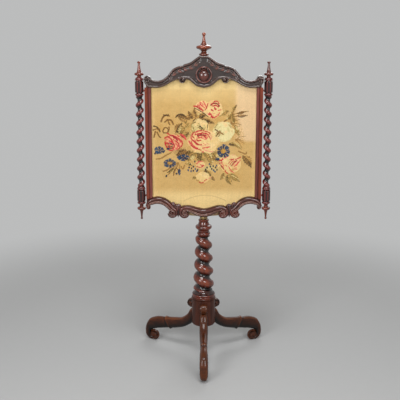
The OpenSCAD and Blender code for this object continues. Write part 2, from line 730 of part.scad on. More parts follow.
module backing_cloth() {
    top = both_sides([[0, 14], [46, 34], [72, 44], [100, 44], [134, 34], [160, 20], [186, 12], [cloth_half, 12]]);
    low = both_sides([[0, 0], [65, 6], [100, 14], [125, 24], [150, 40], [172, 56], [190, 64], [cloth_half, 66]]);
    color("tan") placed() difference() {
        upright(frame_back, frame_back + cloth_t)
            polygon(concat(lifted(low, rail_low), lifted(backwards(top), crest_base)));
        mirrored() tack_places() tack_shank(fit_gap);
        bracket_screw_places(ring_z, frame_back + cloth_t) translate([0, 0, -1])
            cylinder(r = screw_r + fit_gap, h = cloth_t + 2, $fn = 24);
    }
}

tack_count = 7;
tack_inset = 30;

module tack_places() {
    for (k = [0:tack_count - 1])
        translate([cloth_half - 5, frame_back + cloth_t,
            stile_low + tack_inset + (stile_l - 2 * tack_inset) * k / (tack_count - 1)])
            rotate([90, 0, 0]) children();
}

module tack_shank(gap) {
    cylinder(r = 0.9 + gap, h = 8 + cloth_t, $fn = 16);
}

module backing_tacks() {
    head_h = 1.6;
    color("darkgoldenrod") placed() mirrored() tack_places() {
        tack_shank(0);
        translate([0, 0, -head_h]) cylinder(r1 = 1.6, r2 = 3.4, h = head_h, $fn = 24);
    }
}

// Brackets: a plate screwed to the banner's back, an arm and a ring round the pole
plate_half_w = 20;
plate_low = 3;
plate_h = 26;

module bracket(z, back) {
    ring_r = pole_r + bracket_wall;
    difference() {
        union() {
            translate([-plate_half_w, back, z + plate_low]) cube([2 * plate_half_w, bracket_t, plate_h]);
            translate([-bracket_wall, back + bracket_t / 2, z + plate_low])
                cube([2 * bracket_wall, -back - bracket_t / 2 - pole_r, bracket_h - plate_low]);
            translate([0, 0, z]) cylinder(r = ring_r, h = bracket_h);
        }
        translate([0, 0, z - 1]) cylinder(r = pole_r + running_gap, h = bracket_h + 2);
        bracket_screw_places(z, back) translate([0, 0, -bracket_t - 1])
            cylinder(r = screw_r + fit_gap, h = bracket_t + 2, $fn = 24);
    }
}

// Places of the four screws of a bracket, with the screw's way in along +Z of each place
module bracket_screw_places(z, back) {
    for (x = [-1, 1], h = [plate_h - 14, plate_h - 5])
        translate([x * (plate_half_w - 5.5), back, z + plate_low + h]) rotate([90, 0, 0]) children();
}

module upper_bracket() { color("darkgoldenrod") placed() bracket(upper_ring_z, frame_back); }
module lower_bracket() { color("darkgoldenrod") placed() bracket(ring_z, frame_back + cloth_t); }

module bracket_screws() {
    color("goldenrod") placed() {
        bracket_screw_places(upper_ring_z, frame_back) translate([0, 0, -bracket_t]) screw(bracket_t + 10, 1.5);
        bracket_screw_places(ring_z, frame_back + cloth_t) translate([0, 0, -bracket_t])
            screw(bracket_t + cloth_t + 8, 1.5);
    }
}

stem();
hub();
front_leg();
left_leg();
right_leg();
hub_plate();
hub_plate_screws();
pole();
pole_finial();
height_collar();
thumbscrew();
crest_rail();
crest_roundel();
apron();
bottom_rail();
left_stile();
right_stile();
left_column();
right_column();
left_top_finial();
right_top_finial();
left_pendant();
right_pendant();
column_dowels();
panel_board();
needlework();
backing_cloth();
backing_tacks();
upper_bracket();
lower_bracket();
bracket_screws();
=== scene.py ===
import math
import bpy
import numpy as np
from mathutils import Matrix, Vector


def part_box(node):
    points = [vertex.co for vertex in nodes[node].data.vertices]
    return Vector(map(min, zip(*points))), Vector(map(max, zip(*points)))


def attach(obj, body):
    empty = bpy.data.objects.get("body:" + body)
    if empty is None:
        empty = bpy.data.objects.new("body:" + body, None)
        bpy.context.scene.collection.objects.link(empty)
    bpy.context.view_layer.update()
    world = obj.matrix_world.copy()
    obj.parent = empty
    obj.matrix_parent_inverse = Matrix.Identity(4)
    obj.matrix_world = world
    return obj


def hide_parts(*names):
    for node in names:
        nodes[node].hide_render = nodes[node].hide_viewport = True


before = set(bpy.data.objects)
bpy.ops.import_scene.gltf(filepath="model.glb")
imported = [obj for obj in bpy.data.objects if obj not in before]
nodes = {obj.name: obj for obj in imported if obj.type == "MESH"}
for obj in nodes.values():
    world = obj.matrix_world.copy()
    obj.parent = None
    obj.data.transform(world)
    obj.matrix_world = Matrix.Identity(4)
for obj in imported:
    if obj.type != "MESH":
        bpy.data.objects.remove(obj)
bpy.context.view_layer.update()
mm = 0.001
poleLow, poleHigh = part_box("pole")
poleY = 500 * (poleLow.y + poleHigh.y)  # millimetres; shapes below are drawn round the pole's axis
print("frame loaded, pole axis at y", round(poleY, 2), "mm")


# Camera and light

view = {"distance": 2958, "height": 1415, "aside": -16, "tiltDown": 13.38, "lens": 63.0, "sensor": 36.0}


def addObject(name, data):
    obj = bpy.data.objects.new(name, data)
    bpy.context.scene.collection.objects.link(obj)
    return obj


def placeCamera():
    data = bpy.data.cameras.new("camera")
    data.lens = view["lens"]
    data.sensor_width = view["sensor"]
    data.clip_end = 50
    cam = addObject("camera", data)
    cam.location = (view["aside"] * mm, (poleY - view["distance"]) * mm, view["height"] * mm)
    cam.rotation_euler = (math.radians(90 - view["tiltDown"]), 0, 0)
    bpy.context.scene.camera = cam


studio = {
    "lamps": {  # place in metres, width, watts
        "lampLeft": ((-1.7, -2.5, 1.9), 1.3, 40),
        "lampRight": ((1.2, -2.8, 1.9), 1.3, 38),
        "lampTop": ((0.0, -1.1, 3.3), 1.1, 36),
        "lampBack": ((0.6, 2.6, 2.6), 1.6, 26),
    },
    "aim": (0, 0.05, 0.8),
    "paper": (0.5, 0.505, 0.505),
    "skyLight": 0.22,
    "fade": (1.1, 2.4),  # metres from the pole between which the floor runs into the background
    "floor": (9.0, 48, -0.0002),  # half width in metres, lines each way, height
}


def placeLamps():
    for name, (at, size, power) in studio["lamps"].items():
        data = bpy.data.lights.new(name, "AREA")
        data.energy = power
        data.size = size
        lamp = addObject(name, data)
        lamp.location = at
        aim = Vector(studio["aim"]) - Vector(at)
        lamp.rotation_euler = aim.to_track_quat("-Z", "Y").to_euler()


# Shader maths: a Wire is one output socket, and sums on it add Math nodes

def feed(node, key, value):
    # a Wire is linked, a plain value is set on the node's own socket
    if isinstance(value, Wire):
        value.tree.links.new(value.socket, node.inputs[key])
    else:
        node.inputs[key].default_value = value


class Wire:
    def __init__(self, tree, socket):
        self.tree = tree
        self.socket = socket

    def add(self, kind, settings, sockets, out=0):
        node = self.tree.nodes.new(kind)
        for key, value in settings.items():
            setattr(node, key, value)
        for key, value in sockets.items():
            feed(node, key, value)
        return Wire(self.tree, node.outputs[out])

    def sum(self, operation, *terms):
        return self.add("ShaderNodeMath", {"operation": operation}, dict(enumerate(terms)))

    def __add__(self, other):
        return self.sum("ADD", self, other)

    def __sub__(self, other):
        return self.sum("SUBTRACT", self, other)

    def __rsub__(self, other):
        return self.sum("SUBTRACT", other, self)

    def __mul__(self, other):
        return self.sum("MULTIPLY", self, other)

    __radd__ = __add__
    __rmul__ = __mul__

    def axis(self, k):
        return self.add("ShaderNodeSeparateXYZ", {}, {0: self}, k)

    def clamp(self, low, high):
        sockets = {"Value": self, "From Min": low, "From Max": high}
        return self.add("ShaderNodeMapRange", {"clamp": True, "interpolation_type": "SMOOTHSTEP"}, sockets)


def colour4(rgb):
    return (*rgb, 1.0)


def mix(factor, a, b):
    a, b = (c if isinstance(c, Wire) else colour4(c) for c in (a, b))
    return factor.add("ShaderNodeMix", {"data_type": "RGBA"}, {0: factor, 6: a, 7: b}, 2)


def newFinish(name):
    mat = bpy.data.materials.new(name)
    mat.use_nodes = True
    tree = mat.node_tree
    tree.nodes.clear()
    out = tree.nodes.new("ShaderNodeOutputMaterial")
    body = tree.nodes.new("ShaderNodeBsdfPrincipled")
    tree.links.new(body.outputs[0], out.inputs[0])
    coords = tree.nodes.new("ShaderNodeTexCoord")
    return mat, body, Wire(tree, coords.outputs["Object"])


def bump(height, strength, distance):
    sockets = {"Height": height, "Strength": strength, "Distance": distance}
    return height.add("ShaderNodeBump", {}, sockets)


def noise(coords, scale, detail=4.0, roughness=0.55, stretch=None):
    if stretch:
        coords = coords.add("ShaderNodeMapping", {}, {"Vector": coords, "Scale": stretch})
    sockets = {"Vector": coords, "Scale": scale, "Detail": detail, "Roughness": roughness}
    return coords.add("ShaderNodeTexNoise", {}, sockets)


# Wood: grain runs along one axis, the carved or turned relief is in the attribute high (0 hollow, 1 ridge);
# low values get painted shade, ridges get rubbing with a painted highlight

lacquer = {"rough": 0.22, "gloss": 0.06, "coat": 0.9, "polish": 1.65, "wearAndLightShare": 0.35}  # for most woods
# the deep colour is painted shade for hollows; the last colour of each wood, for ridges, is rubbing with a
# painted highlight
woods = {
    "polished": {"deep": (0.004, 0.002, 0.0015), "body": (0.05, 0.007, 0.0025), "light": (0.2, 0.027, 0.006),
                 "wearAndLight": (0.32, 0.075, 0.025)},
    "finial": {"deep": (0.006, 0.003, 0.002), "body": (0.09, 0.014, 0.004), "light": (0.3, 0.055, 0.012),
               "wearAndLight": (0.4, 0.12, 0.04)},
    "column": {"deep": (0.004, 0.003, 0.003), "body": (0.05, 0.007, 0.005), "light": (0.17, 0.02, 0.014),
               "wearAndLight": (0.3, 0.06, 0.045), "wearAndLightShare": 0.45},
    "carved": {"deep": (0.004, 0.002, 0.002), "body": (0.03, 0.0145, 0.0105), "light": (0.06, 0.029, 0.021),
               "wearAndLight": (0.22, 0.06, 0.038), "rough": 0.26, "gloss": 0.25, "coat": 0.95, "wearAndLightShare": 0.8},
    "apron": {"deep": (0.004, 0.002, 0.002), "body": (0.05, 0.0125, 0.0085), "light": (0.15, 0.033, 0.02),
              "wearAndLight": (0.36, 0.2, 0.16), "gloss": 0.1, "wearAndLightShare": 1.1},
    "legs": {"deep": (0.005, 0.003, 0.002), "body": (0.022, 0.006, 0.0025), "light": (0.085, 0.019, 0.005),
             "wearAndLight": (0.28, 0.085, 0.024),
             "rough": 0.26, "gloss": 0.08, "coat": 0.5, "polish": 1.5, "wearAndLightShare": 0.8},
    "drum": {"body": (0.034, 0.009, 0.0045), "light": (0.09, 0.022, 0.01),
             "rough": 0.3, "gloss": 0.1, "coat": 0.35, "polish": 1.5},
    "stile": {"body": (0.11, 0.02, 0.009), "light": (0.24, 0.048, 0.022),
              "rough": 0.24, "gloss": 0.08, "coat": 0.6, "polish": 1.5},
}
stileBead = {"inside": 0.2305, "outside": 0.2318,
             "body": (0.085, 0.021, 0.016), "light": (0.22, 0.062, 0.05)}


def woodFinish(name, kind, axis="Z", relief=True, zone=None):
    mat, body, coords = newFinish(name)
    wood = {**lacquer, **woods[kind]}
    way = 1 if axis == "X" else -1
    broad = noise(coords, 3.0, 6.0, 0.6, (1.2, 14, 14)[::way])
    streak = noise(coords, 1.0, 3.0, 0.6, (18, 420, 420)[::way])
    cloud = noise(coords, 9.0, 3.0)
    figure = (broad * 0.65 + streak * 0.35).clamp(0.34, 0.66)
    tone = mix(figure, wood["body"], wood["light"])
    rough = wood["rough"] + 0.14 * cloud + 0.06 * streak
    if zone:  # the moulding beside the panel is darker than the flat outside it
        outer = coords.sum("ABSOLUTE", coords.axis(0)).clamp(zone["inside"], zone["outside"])
        tone = mix(outer, mix(figure, zone["body"], zone["light"]), tone)
    if relief:
        high = coords.add("ShaderNodeAttribute", {"attribute_name": "high"}, {}, 2)
        # painted shade: hollows and grooves (high below 0.55) are darkened towards the deep colour
        tone = mix(high.clamp(0.0, 0.55), wood["deep"], tone)
        # ridges (high above 0.66) take the ridge colour: rubbing with a painted highlight
        rubbedAndLit = high.clamp(0.66, 1.0) * (cloud + 0.25 * streak).clamp(0.35, 0.75) * wood["wearAndLightShare"]
        tone = mix(rubbedAndLit, tone, wood["wearAndLight"])
        rough = rough + 0.12 * (1.0 - high)
    feed(body, "Base Color", tone)
    feed(body, "Roughness", rough)
    feed(body, "Specular IOR Level", wood["gloss"])
    feed(body, "Coat Weight", wood["coat"])
    feed(body, "Coat Roughness", 0.08)
    feed(body, "Coat IOR", wood["polish"])
    feed(body, "Normal", bump(streak * 0.5 + cloud * 0.8, 0.25, 0.0006))
    return mat


def bareWood(name, pale, dark):
    mat, body, coords = newFinish(name)
    broad = noise(coords, 3.0, 6.0, 0.6, (16, 16, 1.5))
    streak = noise(coords, 1.0, 3.0, 0.6, (380, 380, 16))
    feed(body, "Base Color", mix((broad * 0.6 + streak * 0.4).clamp(0.3, 0.7), dark, pale))
    feed(body, "Roughness", 0.6 + 0.2 * streak)
    feed(body, "Normal", bump(streak, 0.3, 0.0005))
    return mat


def brassFinish(name):
    mat, body, coords = newFinish(name)
    stain = noise(coords, 60.0, 5.0, 0.65)
    scratch = noise(coords, 1.0, 2.0, stretch=(900, 900, 60))
    age = stain.clamp(0.4, 0.7)
    feed(body, "Base Color", mix(age, (0.52, 0.37, 0.17), (0.15, 0.09, 0.045)))
    feed(body, "Roughness", 0.3 + 0.3 * age + 0.12 * scratch)
    feed(body, "Metallic", 1.0 - 0.35 * age)
    feed(body, "Normal", bump(stain * 0.6 + scratch * 0.4, 0.2, 0.0003))
    return mat


def ironFinish(name):
    mat, body, coords = newFinish(name)
    stain = noise(coords, 45.0, 6.0, 0.7)
    rust = stain.clamp(0.52, 0.72)
    feed(body, "Base Color", mix(rust, (0.05, 0.047, 0.045), (0.11, 0.05, 0.025)))
    feed(body, "Roughness", 0.45 + 0.35 * rust)
    feed(body, "Metallic", 0.9 - 0.7 * rust)
    feed(body, "Normal", bump(stain, 0.35, 0.0006))
    return mat


def weaveFinish(name, pale, dark, pitch):
    mat, body, coords = newFinish(name)
    turn = 2 * math.pi / (pitch * mm)
    warp, weft = (coords.sum("SINE", coords.axis(k) * turn) for k in (0, 2))
    thread = warp * weft * 0.5 + 0.5
    slub = noise(coords, 1.0, 3.0, stretch=(260, 260, 7))
    cloud = noise(coords, 7.0, 4.0)
    feed(body, "Base Color", mix((cloud * 0.6 + slub * 0.25 + thread * 0.15).clamp(0.3, 0.7), dark, pale))
    feed(body, "Roughness", 0.9)
    feed(body, "Sheen Weight", 0.15)
    feed(body, "Normal", bump(thread + slub * 0.4, 0.5, 0.0006))
    return mat


def threadFinish(name, pitch):
    mat, body, coords = newFinish(name)
    thread = coords.add("ShaderNodeAttribute", {"attribute_name": "thread"}, {}, 0)
    x, z = coords.axis(0), coords.axis(2)
    turn = math.pi / (pitch * mm)
    slantA, slantB = (coords.sum("SINE", slant * turn) for slant in (x + z, x - z))
    stitch = slantA * slantA * 0.6 + slantB * slantB * 0.4
    fuzz = noise(coords, 900.0, 2.0)
    dim = (0.25 * stitch + 0.55 + 0.4 * fuzz).clamp(0.35, 1.0)
    shade = mix(dim, (0.74, 0.72, 0.68), (1.06, 1.06, 1.06))
    worked = thread.add("ShaderNodeMix", {"data_type": "RGBA", "blend_type": "MULTIPLY"},
                        {0: 1.0, 6: thread, 7: shade}, 2)
    feed(body, "Base Color", worked)
    feed(body, "Roughness", 0.92)
    feed(body, "Sheen Weight", 0.1)
    feed(body, "Normal", bump(stitch + fuzz * 0.5, 0.55, 0.0007))
    return mat


# Shape helpers, all in millimetres round the pole's axis

def smoothLine(points, n):
    # Catmull-Rom curve through the points, n steps between each two
    p = np.asarray(points, float)
    q = np.vstack([p[:1], p, p[-1:]])
    a, b, c, d = (q[k:len(p) - 1 + k, None] for k in range(4))
    t = (np.arange(n) / n)[None, :, None]
    line = 0.5 * (2 * b + (c - a) * t + (2 * a - 5 * b + 4 * c - d) * t**2 + (3 * b - a - 3 * c + d) * t**3)
    return np.vstack([line.reshape(-1, p.shape[1]), p[-1:]])


def evenLine(points, step):
    # the same line with points step apart along its length
    gaps = np.linalg.norm(np.diff(points, axis=0), axis=1)
    s = np.concatenate([[0], np.cumsum(gaps)])
    at = np.linspace(0, s[-1], max(2, int(s[-1] / step)))
    return np.stack([np.interp(at, s, points[:, k]) for k in range(points.shape[1])], -1)


def arc(start, end, n, rx, rz, x=0.0, z=0.0):
    # n points on an ellipse round x, z
    a = np.linspace(start, end, n)
    return np.stack([x + rx * np.cos(a), z + rz * np.sin(a)], -1)


def bead(r, z, h, b):
    # half ellipse: out to radius r, b deep and h high, from z upwards
    return arc(-np.pi / 2, np.pi / 2, 17, b, h / 2, r - b, z + h / 2)


def circle(n):
    # the angles of one turn, in a row
    return np.linspace(0, 2 * np.pi, n, endpoint=False)[None, :]


def ease(t):
    u = np.clip(t, 0, 1)
    return u * u * (3 - 2 * u)


def ridge(t):
    # round bump over t from 0 to 1, zero outside
    return np.sqrt(np.clip(1 - (2 * t - 1)**2, 0, 1))


def rounded(c, e):
    return np.sign(c) * np.abs(c)**e


def standing(field, reach):
    # how far a row's value stands above its neighbours' mean, as 0.5 plus the share of 3 mm
    kernel = np.ones(2 * reach + 1) / (2 * reach + 1)
    padded = np.pad(field, reach, mode="edge")
    return np.clip(0.5 + (field - np.convolve(padded, kernel, "valid")) / 3, 0, 1)


def shell(points, high):
    # skins a grid of rows and columns, joins the last column to the first and closes the end rows
    rows, cols = points.shape[:2]
    n = rows * cols
    index = np.arange(n).reshape(rows, cols)
    beside = np.roll(index, -1, 1)
    quads = np.stack([index[:-1], beside[:-1], beside[1:], index[1:]], -1).reshape(-1, 4)
    low = np.stack([np.full(cols, n), beside[0], index[0]], -1)
    top = np.stack([np.full(cols, n + 1), index[-1], beside[-1]], -1)
    tris = np.vstack([low, top])
    tone = np.array(np.broadcast_to(high, (rows, cols)), float)
    tone = np.concatenate([tone.ravel(), tone[[0, -1]].mean(1)])
    verts = np.vstack([points.reshape(-1, 3), points[[0, -1]].mean(1)])
    fans = np.vstack([quads[:, [0, 1, 2]], quads[:, [0, 2, 3]], tris])
    a, b, c = (verts[fans[:, k]] for k in range(3))
    if np.einsum("ij,ij->i", a, np.cross(b, c)).sum() < 0:
        quads, tris = quads[:, ::-1], tris[:, ::-1]
    return {"verts": verts, "quads": quads, "tris": tris, "high": tone}


def mirrored(part):
    # the same shell on the other side of the banner
    return {"verts": part["verts"] * (-1, 1, 1), "quads": part["quads"][:, ::-1],
            "tris": part["tris"][:, ::-1], "high": part["high"]}


def turnedTo(part, angle):
    # turned about the vertical axis
    a = math.radians(angle)
    spin = np.array([[math.cos(a), -math.sin(a), 0], [math.sin(a), math.cos(a), 0], [0, 0, 1]])
    return {**part, "verts": part["verts"] @ spin.T}


def placed(part, x, z):
    return {**part, "verts": part["verts"] + (x, 0, z)}


def lathe(profile, sides, at=(0, 0), swell=None, high=None):
    # a profile of radius and height carried round the axis; swell(angle, z, r) replaces the radius
    a = circle(sides)
    r, z = profile[:, :1], profile[:, 1:2]
    # by default hollows of the profile get painted shade, and rows that stand out a lighter tone with a
    # painted highlight
    tone = standing(profile[:, 0], 4)[:, None] if high is None else high
    radius = r + 0 * a if swell is None else swell(a, z, r)
    points = np.stack([at[0] + radius * np.cos(a), at[1] + radius * np.sin(a), z + 0 * a], -1)
    return shell(points, tone)


def addPiece(name, verts, faces, finish, body, node):
    # a mesh that rides a body and stands in for one node of the frame
    mesh = bpy.data.meshes.new(name)
    mesh.from_pydata(((verts + (0, poleY, 0)) * mm).tolist(), [], faces)
    mesh.shade_smooth()
    mesh.materials.append(finish)
    obj = addObject(name, mesh)
    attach(obj, body)
    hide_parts(node)
    return obj


def makePiece(name, parts, finish, body, node, sharp=40):
    verts = np.vstack([p["verts"] for p in parts])
    starts = np.cumsum([0] + [len(p["verts"]) for p in parts[:-1]])
    faces = []
    for start, p in zip(starts, parts):
        faces += (p["quads"] + start).tolist() + (p["tris"] + start).tolist()
    mesh = addPiece(name, verts, faces, finish, body, node).data
    tone = np.concatenate([p["high"] for p in parts]).astype(np.float32)
    mesh.attributes.new("high", "FLOAT", "POINT").data.foreach_set("value", tone)
    mesh.set_sharp_from_angle(angle=math.radians(sharp))


placeCamera()
placeLamps()
print("camera and lamps placed")

polishedWood = woodFinish("polishedMahogany", "polished")
finialWood = woodFinish("finialMahogany", "finial")
carvedWood = woodFinish("carvedMahogany", "carved", "X")
legWood = woodFinish("legMahogany", "legs", "X")
plainWood = woodFinish("plainMahogany", "polished", "Z", False)
drumWood = woodFinish("drumMahogany", "drum", "Z", False)
apronWood = woodFinish("apronMahogany", "apron", "X")
stileWood = woodFinish("stileMahogany", "stile", "Z", False, stileBead)
columnWood = woodFinish("columnMahogany", "column")
pine = bareWood("agedPine", (0.42, 0.27, 0.14), (0.22, 0.12, 0.06))
brass = brassFinish("dullBrass")
iron = ironFinish("blackIron")
backCloth = weaveFinish("backingCotton", (0.60, 0.49, 0.31), (0.40, 0.30, 0.17), 1.1)
print("finishes ready")


# Stem: turned foot, left-handed twist, turned head

stem = {"seat": 270, "twistLow": 300, "twistTop": 553, "top": 627, "footR": 52, "ringR": 36, "lowR": 48,
        "topR": 36, "groove": 18, "turns": 4.25, "fat": 0.7, "start": np.pi, "sides": 128}


def twist(p, a, z):
    # outer radius less a groove that winds with the height: r = R - d (1 - f),
    # f = ((1 + c |c|^-0.3) / 2)^fat, c = cos(a - a0 + turn z)
    low, groove = p["twistLow"], p["groove"]
    tall = p["twistTop"] - low
    s = (z - low) / tall
    fade = 10 / tall
    depth = groove * ease(s / fade) * ease((1 - s) / fade)
    full = ((1 + rounded(np.cos(a - p["start"] + 2 * np.pi * p["turns"] * s), 0.7)) / 2)**p["fat"]
    outer = p["lowR"] + (p["topR"] - p["lowR"]) * s - 0.35 * (groove - depth)
    return outer - depth * (1 - full), full


def stemShell():
    p = stem
    seat, low, high, top, f, ring = (p[k] for k in ("seat", "twistLow", "twistTop", "top", "footR", "ringR"))
    foot = np.vstack([
        [[f - 4, seat], [f - 5, seat + 5]], bead(f - 1, seat + 6, 12, 6),
        smoothLine([[f - 4, seat + 19], [p["lowR"] - 8, seat + 25], [p["lowR"] - 12, low]], 6)])
    head = np.vstack([
        [[ring - 13, high + 2]], bead(ring - 7, high + 3, 13, 6),
        smoothLine([[ring - 12, high + 18], [ring - 11, high + 24], [ring - 7, high + 29]], 5),
        bead(ring, high + 30, 17, 8),
        smoothLine([[ring - 11, high + 48], [ring - 13, high + 56], [ring - 16, top - 11]], 5),
        bead(ring - 13, top - 10, 10, 4)])
    z = np.linspace(low + 0.2, high - 0.2, 170)
    middle = np.stack([np.full(len(z), -1.0), z], -1)  # a radius of -1 stands for the twist
    profile = np.vstack([evenLine(foot, 0.9), middle, evenLine(head, 0.9)])

    def swell(a, z, r):
        grown, _ = twist(p, a, z)
        lift, drop = (ridge(np.clip(near / 10, 0, 0.5)) for near in (z - low, high - z))
        neck = np.where(z < (low + high) / 2, p["lowR"] - 14, ring - 13)
        return np.where(r < 0, neck + (grown - neck) * lift * drop, r)

    _, full = twist(p, circle(p["sides"]), profile[:, 1:])
    # painted shade: the twist's grooves are darkened and its crests lightened; rings that stand out are
    # lighter than the hollows beside them
    tone = np.where(profile[:, :1] < 0, 0.02 + 0.9 * full**1.3, standing(profile[:, 0], 5)[:, None])
    # painted shade on the hollow neck between the foot and the twist
    shelf = (profile[:, 1:] > seat + 15) & (profile[:, 1:] < low)
    return lathe(profile, p["sides"], swell=swell, high=np.where(shelf, 0.16, tone))


makePiece("twistedStem", [stemShell()], polishedWood, "stand", "stem")


# Finial on the pole

finial = {"foot": 1326, "discR": 32, "height": 94, "sides": 96, "knob": 0.083}


def finialShell():
    # the turning in shares of the disc's radius and of the height, then the knob
    d, h = finial["discR"], finial["height"]
    turning = np.vstack([
        bead(0.64, 0, 0.096, 0.125),
        smoothLine([[0.44, 0.106], [0.33, 0.18], [0.5, 0.235], [0.76, 0.28]], 8),
        bead(1, 0.285, 0.145, 0.2),
        smoothLine([[0.74, 0.438], [0.46, 0.47], [0.41, 0.505], [0.28, 0.564], [0.2, 0.681],
                    [0.14, 0.83]], 8)])
    knob = finial["knob"] * h
    line = np.vstack([[[6, 0]], turning * (d, h), arc(-0.9, np.pi / 2, 16, knob, knob, 0.01, h - knob)])
    return lathe(evenLine(line, 0.8) + (0, finial["foot"]), finial["sides"])


makePiece("poleFinial", [finialShell()], finialWood, "stand", "pole_finial")
print("stem and finial turned")


# Legs: a rounded section carried between an upper and a lower line, with scrolls at the head and the foot

leg = {"hubR": 52.1, "hubLow": 141, "cuffR": 201, "width": 37, "eye": (277, 30.4), "scrollR": 31,
       "swell": 46, "under": 18, "curl": (267, 25), "curlR": 25, "ear": (57, 229), "earR": 21, "earW": 34,
       "square": 0.75, "angles": {"front": -90, "left": 150, "right": 30}}


def spiralDisc(r, width, turns, hand, groove, rim, dome, start):
    # a disc across the leg: rows run over one side, the rim and the other side; both sides have a spiral
    inward = np.linspace(1, 0.02, 26)
    rho = np.concatenate([inward[::-1], np.ones(8), inward[1:]])[:, None]
    face = np.concatenate([np.full(26, -1.0), np.linspace(-1, 1, 10)[1:-1], np.ones(25)])[:, None]
    a = circle(72)
    edge = np.clip((1 - rho) * r / (0.8 * rim), 0, 1)
    phase = turns * rho - hand * (a - start) / (2 * np.pi)
    near = np.abs((phase + 0.5) % 1 - 0.5)
    cut = np.exp(-(near * 2 * r / turns / 5)**2) * ease((rho - 0.16) / 0.1) * ease((1 - rho) / 0.06)
    boss = dome * np.cos(np.clip(rho / 0.3, 0, 1) * np.pi / 2)
    side = width / 2 - rim * (1 - edge)**2 - groove * cut + boss
    y = np.where(np.abs(face) < 1, face * (width / 2 - rim), np.sign(face) * side)
    radius = r * rho - rim * 0.5 * (np.abs(face) == 1) * (1 - edge)
    points = np.stack([radius * np.cos(a), y, radius * np.sin(a)], -1)
    # painted shade: the spiral groove is darker than the sides and the rim
    return shell(points, np.where(np.abs(face) < 1, 0.75, 0.7 - 0.65 * cut))


def outsideHub(points):
    # pushes out along x what would lie inside the drum
    clear = np.sqrt(np.clip(leg["hubR"]**2 - points[..., 1]**2, 0, None))
    points[..., 0] = np.maximum(points[..., 0], clear)
    return points


def legShell():
    p = leg
    h, z, c = p["hubR"], p["hubLow"], p["cuffR"]
    eye = np.array(p["eye"])
    sleeveTop = [[h - 8, z + 69], [h + 12, z + 57], [h + 29, z + 29], [h + 62, z + 3], [h + 100, z - 6],
                 [c - 18, z - 11], [c, z - 11]]
    sleeveLow = [[h - 8, z + 2], [h + 2, z - 6], [h + 20, z - 23], [h + 53, z - 42], [h + 92, z - 55],
                 [c - 38, z - 61], [c - 27, z - 66]]
    turn = np.radians(np.arange(84, -85, -12))[:, None]
    ray = np.hstack([np.cos(turn), np.sin(turn)])
    up = np.clip(turn / (np.pi / 2), 0, 1)
    outer = p["scrollR"] - 1 + 5 * ease(turn / (np.pi / 2) + 1) + p["swell"] * up**2
    inner = 4 + p["under"] * up**2
    footTop = np.vstack([[[c + 4, z - 17], [c + 28, z - 18], [c + 54, z - 23]], eye + ray * outer])
    footLow = np.vstack([[[c - 22, z - 62], [c + 14, z - 71], [c + 40, z - 77]], eye + ray * inner])
    n = 7
    top, low = (np.vstack([smoothLine(sleeve, n), smoothLine(foot, n)])
                for sleeve, foot in ((sleeveTop, footTop), (sleeveLow, footLow)))
    cuff = n * (len(sleeveTop) - 1) + 1
    i = np.arange(len(top))
    flare = 3.2 * ease((i - cuff + 8) / 7)
    toe = ease((i / len(i) - 0.6) / 0.38)
    waist = p["width"] - 8 * ease((i / cuff - 0.4) / 0.55)
    belly = p["width"] - 8 + 7 * ease((i - cuff) / 16)
    wide = np.where(i < cuff, waist + flare, belly * (1 - 0.28 * toe))
    lip = np.where(i < cuff, 1 + 0.04 * ease((i - cuff + 7) / 6), 1)[:, None]
    a = circle(48)
    half = ((top - low) / 2 * lip)[:, None]
    plane = ((top + low) / 2)[:, None] + half * rounded(np.sin(a), p["square"])[..., None]
    across = wide[:, None] / 2 * rounded(np.cos(a), p["square"])
    points = outsideHub(np.stack([plane[..., 0], across, plane[..., 1]], -1))
    # the tone paints light from above: the upper side lighter, partly from rubbing, the underside in painted
    # shade, a painted highlight along the upper corners
    upper = np.clip(np.sin(a), -0.6, 1)
    corner = np.exp(-((upper - 0.72) / 0.2)**2)
    # a painted highlight on the lip of the cuff and painted shade in the crease just behind it
    lipped = np.exp(-((i - cuff + 2) / 1.3)**2)[:, None]
    behind = np.exp(-((i - cuff - 1) / 1.2)**2)[:, None]
    wearAndLight = 0.27 + 0.46 * upper + 0.22 * corner + 0.34 * lipped - 0.4 * behind
    return shell(points, np.clip(wearAndLight, 0, 1))


def legParts():
    p = leg
    foot = placed(spiralDisc(p["curlR"], 0.76 * p["width"], 1.2, 1, 2.4, 10.0, 1.0, 1.9), *p["curl"])
    foot["verts"][:, 2] = np.maximum(foot["verts"][:, 2], 0)
    ear = placed(spiralDisc(p["earR"], p["earW"], 1.3, -1, 2.6, 3.5, 1.5, -0.6), *p["ear"])
    outsideHub(ear["verts"])
    return [legShell(), foot, ear]


for side, angle in leg["angles"].items():
    parts = [turnedTo(part, angle) for part in legParts()]
    makePiece(side + "Leg", parts, legWood, "stand", side + "_leg")
print("legs carved")


# Side columns with their finials and pendants

column = {"x": 267.092, "y": -34, "lowBlock": 702, "blockL": 78, "blockR": 18.5, "twistLow": 780,
          "twistTop": 1162, "lowR": 17, "topR": 17, "groove": 8.5, "turns": 10, "fat": 1.6, "start": 0.0,
          "sides": 64, "discR": 19.5}


def blockProfile(foot, neck, end):
    # radius, height and share of the eight-sided form
    r = column["blockR"]
    low = np.vstack([[[neck, 0], [r - 7, 0.5], [r - 5, 1.5]], bead(r - 0.6, 2, 10, 4.5),
                     [[r - 6, 12.6], [r - 6, 14.4]]])
    mid = np.array([[r - 2, 15], [r, 16.5], [r, 60], [r - 2, 61.5]])
    top = np.vstack([[[r - 6, 62], [r - 6, 63.6]], bead(r - 0.2, 64.2, 5, 2.4), [[r - 3, 69.6]],
                     arc(0, np.pi / 2, 12, r - 2 - end, 8, end, 70)])
    line = [np.hstack([part, np.full((len(part), 1), w)]) for part, w in ((low, 0), (mid, 0.6), (top, 0))]
    return evenLine(np.vstack(line), 0.8) + (0, foot, 0)


